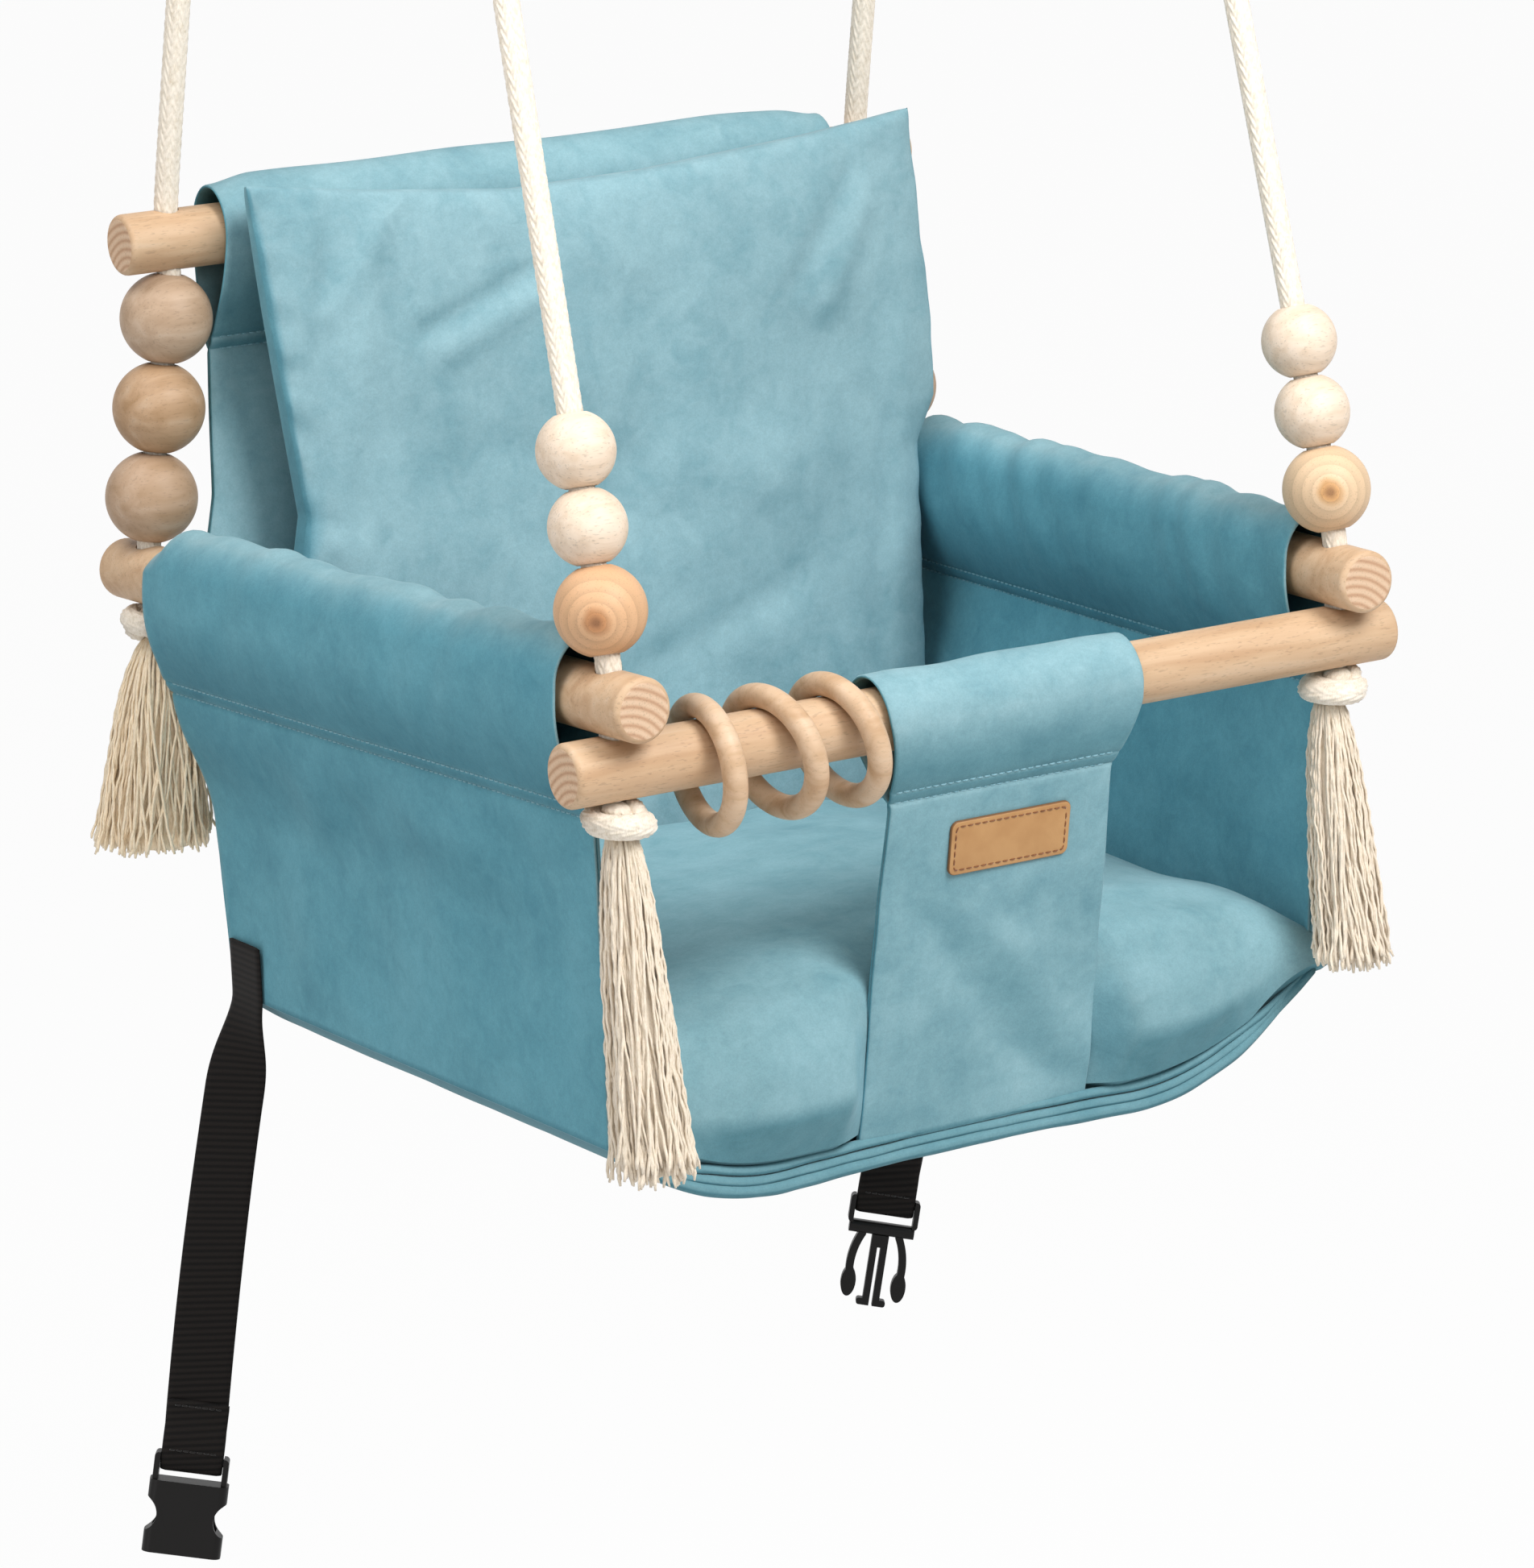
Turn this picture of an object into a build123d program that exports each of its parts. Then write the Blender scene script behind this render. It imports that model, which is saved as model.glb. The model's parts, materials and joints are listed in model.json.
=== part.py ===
from build123d import *
import os
from math import asin, atan, cos, degrees, radians, sin, sqrt, tan

# Toddler bucket swing: a sewn fabric seat with two cushions, carried by four wooden dowels
# that are threaded on four braided ropes. Each rope ends below its dowel in a stopper knot
# with a tassel, and above in a knotted eye that hangs on a hook.
#
# The pieces are drawn in the seat's own frame: origin on the middle of the front dowel's
# axis, +X to the right of someone who faces the open front, +Y to the back, +Z up.
# They are moved at the end so that the origin is the middle of the four rope eyes.
# Millimetres and degrees. A side is -1 for left and +1 for right.

SIDES = {"left": -1, "right": 1}
SEAT_GAP = 0.3              # between a soft or loose piece and what it rests on

# Dowels
DOWEL_D = 25.0
DOWEL_LEN = 380.0
DOWEL_RIM = 2.6             # rounding of the end rims
HOLE_INSET = 22.0           # from the dowel's end to its rope hole
ARM_SPLAY = 3.0             # each arm dowel opens outward to the rear
BACK_Y = 336.0              # back dowel's axis behind the front dowel's
BACK_Z = 161.5              # back dowel's axis above the front dowel's

# Ropes
ROPE_D = 9.5
ROPE_HOLE_D = 10.5
FRONT_LEAN = 14.0           # front ropes lean back above the arm dowels
REAR_LEAN = 13.0            # rear ropes lean forward above the back dowel
ROPE_TOE = 1.1              # all four ropes draw in a little towards the top
ROPE_BEND_R = 30.0          # where a rope leaves a drilled hole at a slant
BEND_OUT = 2.0              # how far outside the wood that bend sits
KNOT_D = 28.0
KNOT_H = 15.0
EYE_Z = 375.0               # bearing point of the rope eyes above the front dowel's axis
EYE_HALF_W = 15.0           # eye's centreline half width
EYE_REACH = 62.0            # from the eye knot's foot to the bearing point
EYE_KNOT_D = 27.0
EYE_KNOT_H = 30.0

# Tassels
TASSEL_NECK_D = 15.0
TASSEL_END_D = {"front_left": 34.0, "front_right": 34.0, "rear_left": 40.0, "rear_right": 40.0}
TASSEL_LEN = {"front_left": 128.0, "front_right": 104.0, "rear_left": 90.0, "rear_right": 96.0}
TASSEL_SWAY = {"front": -13.0, "rear": 16.0}     # how far the free end is pushed from plumb

# Beads
SMALL_BEAD_D = 30.0
LARGE_BEAD_D = 35.0
REAR_BEAD_D = 38.0
BEAD_BORE_D = 10.5
BEAD_LIFT = 5.0             # bare rope between the arm dowel and the large bead

# Toy rings on the front dowel
RING_OD = 55.0
RING_T = 9.5
RING_X = (-128.0, -98.0, -69.0)
RING_TILT = (4.0, 12.0, 12.0)           # lower rim leans to the right
RING_TURN = (-4.0, 10.0, 8.0)           # turned about the vertical

# Fabric
CLOTH = 3.0                 # sewn double layer
TUNNEL_SLACK = 0.4          # between a dowel and its fabric tunnel
TUNNEL_DROP = 47.0          # dowel axis to tunnel seam, arms and back
SIDE_FRONT_Y = 18.0         # side panel's front edge
SIDE_TUNNEL_END_Y = 316.0   # arm tunnel's rear end
SIDE_BOTTOM_Z = -150.0
SIDE_KNEE_Z = -78.0         # where the rear of the side panel stops drawing inward
SIDE_DRAW_IN = 15.6         # the rear of the side panels below the knee, inside the arm's rope hole
SIDE_KNEE_SHARE = 0.25      # how much of that drawing in is done just below the tunnel seam
BACK_FOOT_Y = 311.0         # back panel's front face at the side panels' lower edge
BACK_TOP_GAP = 1.0          # back panel's edge to the rear beads, at the top
BACK_ARM_GAP = 9.6          # and at the arm dowels
CORNER_CUT_Y = 16.0         # side panel's rear lower corner, cut off for the webbing
CORNER_CUT_Z = 18.0
SAG_DEPTH = 34.0            # how far the seat base hangs below the side panels' lower edge
SAG_FLAT = 85.0             # half width of the sag's flat middle
HEM_SCOOP = 20.0            # how far the base's front edge is drawn back in the middle
HEM_H = 11.0                # upstanding hem band along that edge

# Crotch flap
FLAP_X = 4.0
FLAP_TOP_HALF_W = 58.0
FLAP_WAIST_HALF_W = 51.5
FLAP_FOOT_HALF_W = 53.0
FLAP_SEAM_Z = -33.0
FLAP_FOOT_Y = 28.0          # middle of the flap's plane at the height of the base's underside

# Leather patch, left blank
PATCH_W = 54.0
PATCH_H = 21.0
PATCH_T = 1.6
PATCH_Z = -56.0
PATCH_CORNER_R = 3.0

# Cushions
SEAT_CUSHION_TOP_Z = -93.0
SEAT_CUSHION_EDGE_Z = -132.0        # height of its side seams
SEAT_CUSHION_CLEAR = 3.0            # to the side panels
SEAT_CUSHION_FRONT_Y = 6.0
SEAT_CUSHION_NOSE = 45.0            # depth of its rounded front
SEAT_CUSHION_BROW = 10.0            # how far back and up that rounding bulges
SEAT_CUSHION_TUCK = 6.0             # how far its front foot draws back
SEAT_CUSHION_SHOULDER = 0.6         # where its crown turns down to the side seams
SEAT_CUSHION_SHOULDER_RISE = 0.84
BACK_CUSHION_FOOT_Y = 273.0         # its front face at the base, and at its top edge
BACK_CUSHION_HEAD_Y = 283.0
BACK_CUSHION_SWELL = 16.0           # how far that face stands in front of the side seams
BACK_CUSHION_ROLL = 56.0            # how far in from a seam the cushion is full
BACK_CUSHION_TOP_Z = 178.0
BACK_CUSHION_X = 10.0               # it has slipped towards the right
BACK_CUSHION_INSET = 10.0           # its side seams at the top, inside the rope holes
BACK_CUSHION_WAIST_Z = 45.0         # its left side is drawn in here
BACK_CUSHION_WAIST_IN = 13.0
BACK_CUSHION_FOOT_CLEAR = 4.0       # its side seams to the side panels, below the arms

# Webbing straps and side-release buckle
WEB_W = 25.0
WEB_T = 1.6
WEB_FOLD_R = 0.7            # rounding of the fold at the top of a strap
TAB_H = 25.0                # sewn-on end of the webbing, above its fold
TAB_Y = 297.0               # middle of the webbing on the side panel's rear lower corner
STRAP_LEN = {"left": 195.0, "right": 153.0}     # fold to buckle bar
STRAP_LEAN = {"left": 11.5, "right": 13.0}      # both straps hang leaning to the left
STRAP_TWIST = 58.0          # the webbing twists to face forward at the buckle
WEB_LOOP_DROP = 24.0        # folded-back end, bar to stitching
BAR_D = 3.6
BAR_SLACK = 0.3
BUCKLE_W = 33.0
BUCKLE_T = 10.5
SOCKET_BODY_LEN = 31.0
SOCKET_WALL = 1.7
SOCKET_MOUTH_W = 27.0
SOCKET_WINDOW_R = 8.0
YOKE_LEN = 11.0             # slotted end that holds the webbing
YOKE_RIM = 0.5              # legs' ends beyond the bar
YOKE_ROOT = 1.0             # how deep bar and legs are set into what carries them
SLOT_W = 26.4
PLUG_BODY_LEN = 11.0
PLUG_T = 7.5
PLUG_ARM_LEN = 29.0
PLUG_ARM_W = 3.4
PLUG_ARM_T = 5.4
PLUG_TIP_W = 6.6
PLUG_TIP_LEN = 13.0
PLUG_SPREAD = 11.2          # arm tips' centres from the middle
GUIDE_W = 7.5
GUIDE_SLIT = 1.5
GUIDE_FOOT_W = 13.0
GUIDE_FOOT_LEN = 3.0
GUIDE_FOOT_R = 1.2
YOKE_INSET = 1.0            # how much narrower the slotted end is, on each side
YOKE_EDGE_R = 1.7
SOCKET_EDGE_R = 3.8
SOCKET_ROOF_T = 5.1         # solid end of the shell, above its hollow
SOCKET_YOKE_T = 7.4
SOCKET_WINDOW_SHARE = 0.52  # windows' height as a share of the shell
SOCKET_WINDOW_OUT = 3.4     # their centres, outside the shell's edge
PLUG_BODY_INSET = 2.0
PLUG_EDGE_R = 2.2
PLUG_ROOT_IN = 3.0          # arms' roots, inside the line of their tips
PLUG_BOW = 0.4              # how far the arms' middles bow outward
PLUG_TIP_IN = 0.6           # arms' ends, inside the middles of their tips

# Worked out from the above
DOWEL_R = DOWEL_D / 2
ROPE_R = ROPE_D / 2
HALF_SPAN = DOWEL_LEN / 2 - HOLE_INSET
ARM_Z = DOWEL_D                                     # the arm dowels lie on the front dowel
ARM_PITCH = DOWEL_LEN - 2 * HOLE_INSET
REAR_X = HALF_SPAN + ARM_PITCH * sin(radians(ARM_SPLAY))
REAR_Y = ARM_PITCH * cos(radians(ARM_SPLAY))
BASE_Z = SIDE_BOTTOM_Z - SAG_DEPTH                  # underside of the base's middle
TUNNEL_R = DOWEL_R + TUNNEL_SLACK
SEAM_Z = ARM_Z - TUNNEL_DROP
BACK_SEAM_Z = BACK_Z - TUNNEL_DROP
RING_R = (RING_OD - RING_T) / 2
SIDE_REAR_X = REAR_X - SIDE_DRAW_IN
BACK_TOP_HALF_W = HALF_SPAN - REAR_BEAD_D / 2 - BACK_TOP_GAP
BACK_ARM_HALF_W = REAR_X - REAR_BEAD_D / 2 - BACK_ARM_GAP
BACK_CUSHION_HALF_W = HALF_SPAN - BACK_CUSHION_INSET
BACK_SLOPE = (BACK_Y - CLOTH / 2 - BACK_FOOT_Y) / (BACK_SEAM_Z - SIDE_BOTTOM_Z)
LONG = 2000.0                                       # longer than anything it cuts


def arm_x(y):
    """Distance of an arm dowel's axis from the middle plane at depth y."""
    return HALF_SPAN + y * tan(radians(ARM_SPLAY))


def back_face_y(z):
    """Front face of the back panel, a plane that leans back towards the back dowel."""
    return BACK_FOOT_Y + BACK_SLOPE * (z - SIDE_BOTTOM_Z)


def across_at(y):
    """Upright drawing plane across the seat at depth y, with x to the right and z up."""
    return Plane(origin=(0, y, 0), x_dir=(1, 0, 0), z_dir=(0, -1, 0))


def behind_back_face():
    """Everything behind the back panel's front face, to trim what is sewn against it."""
    half = Pos(0, LONG / 2, 0) * Box(LONG, LONG, LONG)
    return Pos(0, back_face_y(0), 0) * Rot(-degrees(atan(BACK_SLOPE)), 0, 0) * half


# ---------------------------------------------------------------- wood

def dowel_along_x(x_holes):
    bar = Rot(0, 90, 0) * Cylinder(DOWEL_R, DOWEL_LEN)
    bar = fillet(bar.edges().filter_by(GeomType.CIRCLE), DOWEL_RIM)
    for x in x_holes:
        bar -= Pos(x, 0, 0) * Cylinder(ROPE_HOLE_D / 2, 2 * DOWEL_D)
    return bar


def front_dowel():
    return dowel_along_x((-HALF_SPAN, HALF_SPAN))


def back_dowel():
    return Pos(0, BACK_Y, BACK_Z) * dowel_along_x((-HALF_SPAN, HALF_SPAN))


def arm_dowel(side):
    middle = Pos(side * (HALF_SPAN + REAR_X) / 2, REAR_Y / 2, ARM_Z)
    turn = Rot(0, 0, 90 - side * ARM_SPLAY)
    return middle * turn * dowel_along_x((-ARM_PITCH / 2, ARM_PITCH / 2))


def bead(diameter):
    return Sphere(diameter / 2) - Cylinder(BEAD_BORE_D / 2, diameter)


def bead_half(diameter):
    """Half the height of a drilled bead, from its middle to the rim of the bore."""
    return sqrt((diameter / 2) ** 2 - (BEAD_BORE_D / 2) ** 2)


def toy_ring(x, tilt, turn):
    z = DOWEL_R + SEAT_GAP + RING_T / 2 - RING_R * cos(radians(tilt))
    return Pos(x, 0, z) * Rot(0, 0, turn) * Rot(0, 90 - tilt, 0) * Torus(RING_R, RING_T / 2)


# ---------------------------------------------------------------- ropes

def rope_corners(end, side):
    """Corners of a rope's route, from its stopper knot up to its eye knot."""
    if end == "front":
        foot = Vector(side * HALF_SPAN, 0, -DOWEL_R - SEAT_GAP)
        corners = [foot, Vector(foot.X, foot.Y, ARM_Z + DOWEL_R + BEND_OUT)]
        lean = FRONT_LEAN
    else:
        foot = Vector(side * REAR_X, REAR_Y, ARM_Z - DOWEL_R - SEAT_GAP)
        corners = [
            foot,
            Vector(foot.X, foot.Y, ARM_Z + DOWEL_R + BEND_OUT),
            Vector(side * HALF_SPAN, BACK_Y, BACK_Z - DOWEL_R - BEND_OUT),
            Vector(side * HALF_SPAN, BACK_Y, BACK_Z + DOWEL_R + BEND_OUT),
        ]
        lean = -REAR_LEAN
    up = Vector(-side * tan(radians(ROPE_TOE)), sin(radians(lean)), cos(radians(lean))).normalized()
    last = corners[-1]
    bearing = last + up * ((EYE_Z - last.Z) / up.Z)
    return corners + [bearing - up * EYE_REACH], up, bearing


def rope(end, side):
    corners = rope_corners(end, side)[0]
    radii = [ROPE_BEND_R] * (len(corners) - 2)
    path = FilletPolyline(*corners, radius=radii if len(radii) > 1 else ROPE_BEND_R)
    section = Plane(origin=corners[0], z_dir=(0, 0, 1)) * Circle(ROPE_R)
    print(f"rope {end} {side:+d}: length {path.length:.1f} mm, bend radii {radii}")
    return sweep(section, path=path)


def stopper_knot(end, side):
    foot = rope_corners(end, side)[0][0]
    barrel = Cylinder(KNOT_D / 2, KNOT_H)
    barrel = fillet(barrel.edges().filter_by(GeomType.CIRCLE), KNOT_H * 0.46)
    return Pos(foot.X, foot.Y, foot.Z - KNOT_H / 2) * barrel


def tassel_pivot(end, side):
    """Middle of a tassel's round head, just below its stopper knot."""
    foot = rope_corners(end, side)[0][0]
    return foot - Vector(0, 0, KNOT_H + SEAT_GAP + TASSEL_NECK_D / 2)


def tassel(end, side_name):
    """Yarn tassel as a bell with a round head, pushed from plumb by the panel beside it."""
    name = f"{end}_{side_name}"
    head = tassel_pivot(end, SIDES[side_name])
    length = TASSEL_LEN[name] - TASSEL_NECK_D / 2
    rings = []
    for share, swell in ((0, 0), (0.3, 0.45), (1, 1)):
        r = TASSEL_NECK_D / 2 + swell * (TASSEL_END_D[name] - TASSEL_NECK_D) / 2
        y = head.Y + TASSEL_SWAY[end] * share
        rings.append(Pos(head.X, y, head.Z - length * share) * Circle(r))
    return loft(rings) + Pos(head.X, head.Y, head.Z) * Sphere(TASSEL_NECK_D / 2)


def rope_eye(end, side):
    """The knotted eye at the rope's upper end."""
    corners, up, _ = rope_corners(end, side)
    lay = Plane(origin=corners[-1], x_dir=(1, 0, 0), z_dir=up)
    spread = EYE_REACH + ROPE_R - EYE_KNOT_H / 2 - 2 * EYE_HALF_W
    line = Plane.XZ * SlotCenterToCenter(spread, 2 * EYE_HALF_W, rotation=90)
    line = Pos(0, 0, EYE_KNOT_H / 2 + EYE_HALF_W + spread / 2) * line
    path = line.wire()
    loop = sweep(Plane(origin=path @ 0, z_dir=path % 0) * Circle(ROPE_R), path=path)
    barrel = Pos(0, 0, EYE_KNOT_H / 2) * Cylinder(EYE_KNOT_D / 2, EYE_KNOT_H)
    barrel = fillet(barrel.edges().filter_by(GeomType.CIRCLE), EYE_KNOT_D * 0.3)
    return lay.location * (loop + barrel)


def threaded(start, up, diameters):
    """Centres of drilled beads pushed together along a rope, from start on."""
    centres = []
    at = 0.0
    for diameter in diameters:
        at += bead_half(diameter)
        centres.append(start + up * at)
        at += bead_half(diameter) + SEAT_GAP
    return centres


def front_beads(side_name):
    side = SIDES[side_name]
    corners, up, _ = rope_corners("front", side)
    start = corners[1] + up * (BEAD_LIFT - BEND_OUT)
    names = ("large_bead", "lower_small_bead", "upper_small_bead")
    sizes = (LARGE_BEAD_D, SMALL_BEAD_D, SMALL_BEAD_D)
    for name, size, centre in zip(names, sizes, threaded(start, up, sizes)):
        place = Plane(origin=centre, x_dir=(1, 0, 0), z_dir=up).location
        yield f"front_{side_name}_{name}", place * bead(size)


def rear_beads(side_name):
    side = SIDES[side_name]
    corners = rope_corners("rear", side)[0]
    up = (corners[2] - corners[1]).normalized()
    sizes = (REAR_BEAD_D,) * 3
    stack = 6 * bead_half(REAR_BEAD_D) + 2 * SEAT_GAP
    slack = (corners[2] - corners[1]).length - stack
    start = corners[1] + up * (slack / 2)
    names = ("lower_bead", "middle_bead", "upper_bead")
    for name, size, centre in zip(names, sizes, threaded(start, up, sizes)):
        place = Plane(origin=centre, x_dir=(0, 1, 0), z_dir=up).location
        yield f"rear_{side_name}_{name}", place * bead(size)


# ---------------------------------------------------------------- sewn fabric

def tunnel_outline(inner_r, wall, drop):
    """Outline of a band that hangs on a bar and closes at a distance below the bar's middle."""
    return make_hull((Circle(inner_r + wall) + Pos(0, -drop + wall / 2) * Circle(wall / 2)).edges())


def tunnel_profile(inner_r, wall, drop):
    """A band wrapped round a bar and sewn to itself at a distance below the bar's middle."""
    pinch = Pos(0, -drop + 2.5 * wall) * Circle(wall / 8)
    inner = make_hull((Circle(inner_r) + pinch).edges())
    return tunnel_outline(inner_r, wall, drop) - inner


def back_tunnel_place():
    """Turns a tunnel profile's extrusion to lie along the back dowel."""
    return Pos(0, BACK_Y, BACK_Z) * Rot(0, 0, 90) * Rot(90, 0, 0)


def strip_between(points, wall):
    """Closed outline of a sheet of the given thickness whose middle runs through points (x, z)."""
    inner = [(x - wall / 2, z) for x, z in points]
    outer = [(x + wall / 2, z) for x, z in reversed(points)]
    return make_face(Polyline(*inner, *outer, close=True))


def side_panel(side):
    """Side panel with the tunnel for its arm dowel. Its rear draws in below the arm."""
    tunnel = extrude(tunnel_profile(TUNNEL_R, CLOTH, TUNNEL_DROP), LONG / 4, both=True)
    along_arm = Rot(0, 0, -side * ARM_SPLAY) * Rot(90, 0, 0)
    tunnel = Pos(side * arm_x(REAR_Y / 2), REAR_Y / 2, ARM_Z) * along_arm * tunnel
    trim_y = (SIDE_FRONT_Y + SIDE_TUNNEL_END_Y) / 2
    tunnel &= Pos(0, trim_y, 0) * Box(LONG, SIDE_TUNNEL_END_Y - SIDE_FRONT_Y, LONG)

    rear_y = BACK_Y
    levels = (SEAM_Z + CLOTH / 2, SIDE_KNEE_Z, SIDE_BOTTOM_Z)
    front_x = [side * arm_x(SIDE_FRONT_Y)] * 3
    rear_x = [side * arm_x(rear_y), side * SIDE_REAR_X, side * SIDE_REAR_X]
    sections = [
        across_at(y) * strip_between(list(zip(xs, levels)), CLOTH)
        for y, xs in ((SIDE_FRONT_Y, front_x), (rear_y, rear_x))
    ]
    sheet = loft(sections, ruled=True) - behind_back_face() - corner_wedge()
    return tunnel + sheet


def corner_wedge():
    """What is cut off the side panels' rear lower corners, where the webbing comes out."""
    outline = Polyline(
        (BACK_FOOT_Y - CORNER_CUT_Y, SIDE_BOTTOM_Z),
        (BACK_FOOT_Y, SIDE_BOTTOM_Z + CORNER_CUT_Z),
        (LONG, SIDE_BOTTOM_Z + CORNER_CUT_Z),
        (LONG, SIDE_BOTTOM_Z - CLOTH),
        (BACK_FOOT_Y - CORNER_CUT_Y, SIDE_BOTTOM_Z - CLOTH),
        close=True,
    )
    return extrude(Plane.YZ * make_face(outline), LONG, both=True)


def side_foot_x(y):
    """Half width between the side panels' lower edges at depth y."""
    share = (y - SIDE_FRONT_Y) / (BACK_Y - SIDE_FRONT_Y)
    return arm_x(SIDE_FRONT_Y) + share * (SIDE_REAR_X - arm_x(SIDE_FRONT_Y))


def sag_outline(half_w, lift, top):
    """Sagging seat outline, raised by lift from the underside, closed by a line at height top."""
    radius = ((half_w - SAG_FLAT) ** 2 + SAG_DEPTH ** 2) / (2 * SAG_DEPTH)
    r = radius - lift
    z_mid = BASE_Z + radius
    rise = degrees(asin((half_w - SAG_FLAT) / radius))
    right = CenterArc((SAG_FLAT, z_mid), r, -90, rise)
    left = CenterArc((-SAG_FLAT, z_mid), r, -90, -rise)
    floor = Line((-SAG_FLAT, z_mid - r), (SAG_FLAT, z_mid - r))
    lid = Polyline(left @ 1, ((left @ 1).X, top), ((right @ 1).X, top), right @ 1)
    return make_face([floor, right, left, lid])


def sagging_block(lift, top, front_y, rear_y):
    """Solid above the sagging base, raised by lift, up to height top."""
    sections = [
        across_at(y) * sag_outline(side_foot_x(y), lift, top)
        for y in (front_y, rear_y)
    ]
    return loft(sections, ruled=True)


def flap_slab(ahead, behind, half_w):
    """Slanting slab round the flap's hanging middle plane, between two distances from it."""
    drop = FLAP_SEAM_Z - BASE_Z
    length = Vector(0, FLAP_FOOT_Y, -drop).length
    slant = degrees(asin(FLAP_FOOT_Y / length))
    block = Pos(0, (behind - ahead) / 2, 0) * Box(2 * half_w, ahead + behind, length)
    return Pos(FLAP_X, FLAP_FOOT_Y / 2, FLAP_SEAM_Z - drop / 2) * Rot(slant, 0, 0) * block


def inside_scoop(margin):
    """Round block in front of the base's scooped front edge, widened by a margin to the back."""
    half_w = side_foot_x(0)
    scoop_r = (half_w ** 2 + HEM_SCOOP ** 2) / (2 * HEM_SCOOP)
    return Pos(0, SEAT_CUSHION_FRONT_Y + HEM_SCOOP - scoop_r, 0) * Cylinder(scoop_r + margin, LONG)


def sag_layer(low, high):
    """Layer between two distances above the base's underside."""
    return sagging_block(low, 0, 0, BACK_Y) - sagging_block(high, LONG, 0, BACK_Y)


def seat_base():
    """Seat base between the side panels. Its scooped front edge is turned up as a hem band."""
    sheet = sag_layer(0, CLOTH) + (sag_layer(0, HEM_H) & inside_scoop(CLOTH))
    sheet -= Pos(0, 0, SIDE_BOTTOM_Z + LONG / 2) * Box(LONG, LONG, LONG)
    return sheet - inside_scoop(0) - behind_back_face()


def back_panel():
    """Back panel with the tunnel for the back dowel, sewn to the side panels below the arms."""
    tunnel = extrude(tunnel_profile(TUNNEL_R, CLOTH, TUNNEL_DROP), BACK_TOP_HALF_W, both=True)
    tunnel = back_tunnel_place() * tunnel
    knee = arm_x(BACK_Y) + (SIDE_REAR_X - arm_x(BACK_Y)) * SIDE_KNEE_SHARE
    half = [
        (BACK_TOP_HALF_W, BACK_SEAM_Z + CLOTH / 2),
        (BACK_ARM_HALF_W, ARM_Z + DOWEL_R),
        (knee, SEAM_Z - CLOTH),
        (SIDE_REAR_X + CLOTH / 2, SIDE_KNEE_Z),
        (SIDE_REAR_X + CLOTH / 2, SIDE_BOTTOM_Z),
    ]
    outline = half + [(-x, z) for x, z in reversed(half)]
    upper = Plane.XZ * make_face(Polyline(*outline, close=True))
    lower = Plane.XZ * sag_outline(SIDE_REAR_X + CLOTH / 2, 0, SIDE_KNEE_Z)
    block = extrude(upper + lower, -LONG)
    face = behind_back_face()
    sheet = block & (face - Pos(0, CLOTH, 0) * face)
    return tunnel + sheet


def crotch_flap():
    """Flap with the tunnel for the front dowel, sewn to the top of the base's hem band."""
    drop = -FLAP_SEAM_Z
    foot_z = BASE_Z + HEM_H
    tunnel = extrude(tunnel_profile(TUNNEL_R, CLOTH, drop), FLAP_TOP_HALF_W, both=True)
    tunnel = Pos(FLAP_X, 0, 0) * Rot(0, 0, 90) * Rot(90, 0, 0) * tunnel
    hanging = flap_slab(CLOTH / 2, CLOTH / 2, FLAP_TOP_HALF_W)
    outline = Polyline(
        (FLAP_X - FLAP_TOP_HALF_W, TUNNEL_R + CLOTH),
        (FLAP_X - FLAP_TOP_HALF_W, 0),
        (FLAP_X - FLAP_WAIST_HALF_W, FLAP_SEAM_Z),
        (FLAP_X - FLAP_FOOT_HALF_W, foot_z),
        (FLAP_X + FLAP_FOOT_HALF_W, foot_z),
        (FLAP_X + FLAP_WAIST_HALF_W, FLAP_SEAM_Z),
        (FLAP_X + FLAP_TOP_HALF_W, 0),
        (FLAP_X + FLAP_TOP_HALF_W, TUNNEL_R + CLOTH),
        close=True,
    )
    cutter = extrude(Plane.XZ * make_face(outline), LONG, both=True)
    return (tunnel + hanging) & cutter


def leather_patch():
    """Blank sewn patch on the flap's front, below the tunnel seam."""
    slant = degrees(asin(FLAP_FOOT_Y / Vector(0, FLAP_FOOT_Y, FLAP_SEAM_Z - BASE_Z).length))
    y = FLAP_FOOT_Y * (FLAP_SEAM_Z - PATCH_Z) / (FLAP_SEAM_Z - BASE_Z)
    plate = extrude(Plane.XZ * RectangleRounded(PATCH_W, PATCH_H, PATCH_CORNER_R), PATCH_T)
    seat = CLOTH / 2 / cos(radians(slant))
    return Pos(FLAP_X, y - seat, PATCH_Z) * Rot(slant, 0, 0) * plate


# ---------------------------------------------------------------- cushions

def back_cushion_face_y(z):
    """Front face of the back cushion."""
    share = (z - BASE_Z) / (BACK_CUSHION_TOP_Z - BASE_Z)
    return BACK_CUSHION_FOOT_Y + share * (BACK_CUSHION_HEAD_Y - BACK_CUSHION_FOOT_Y)


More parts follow.
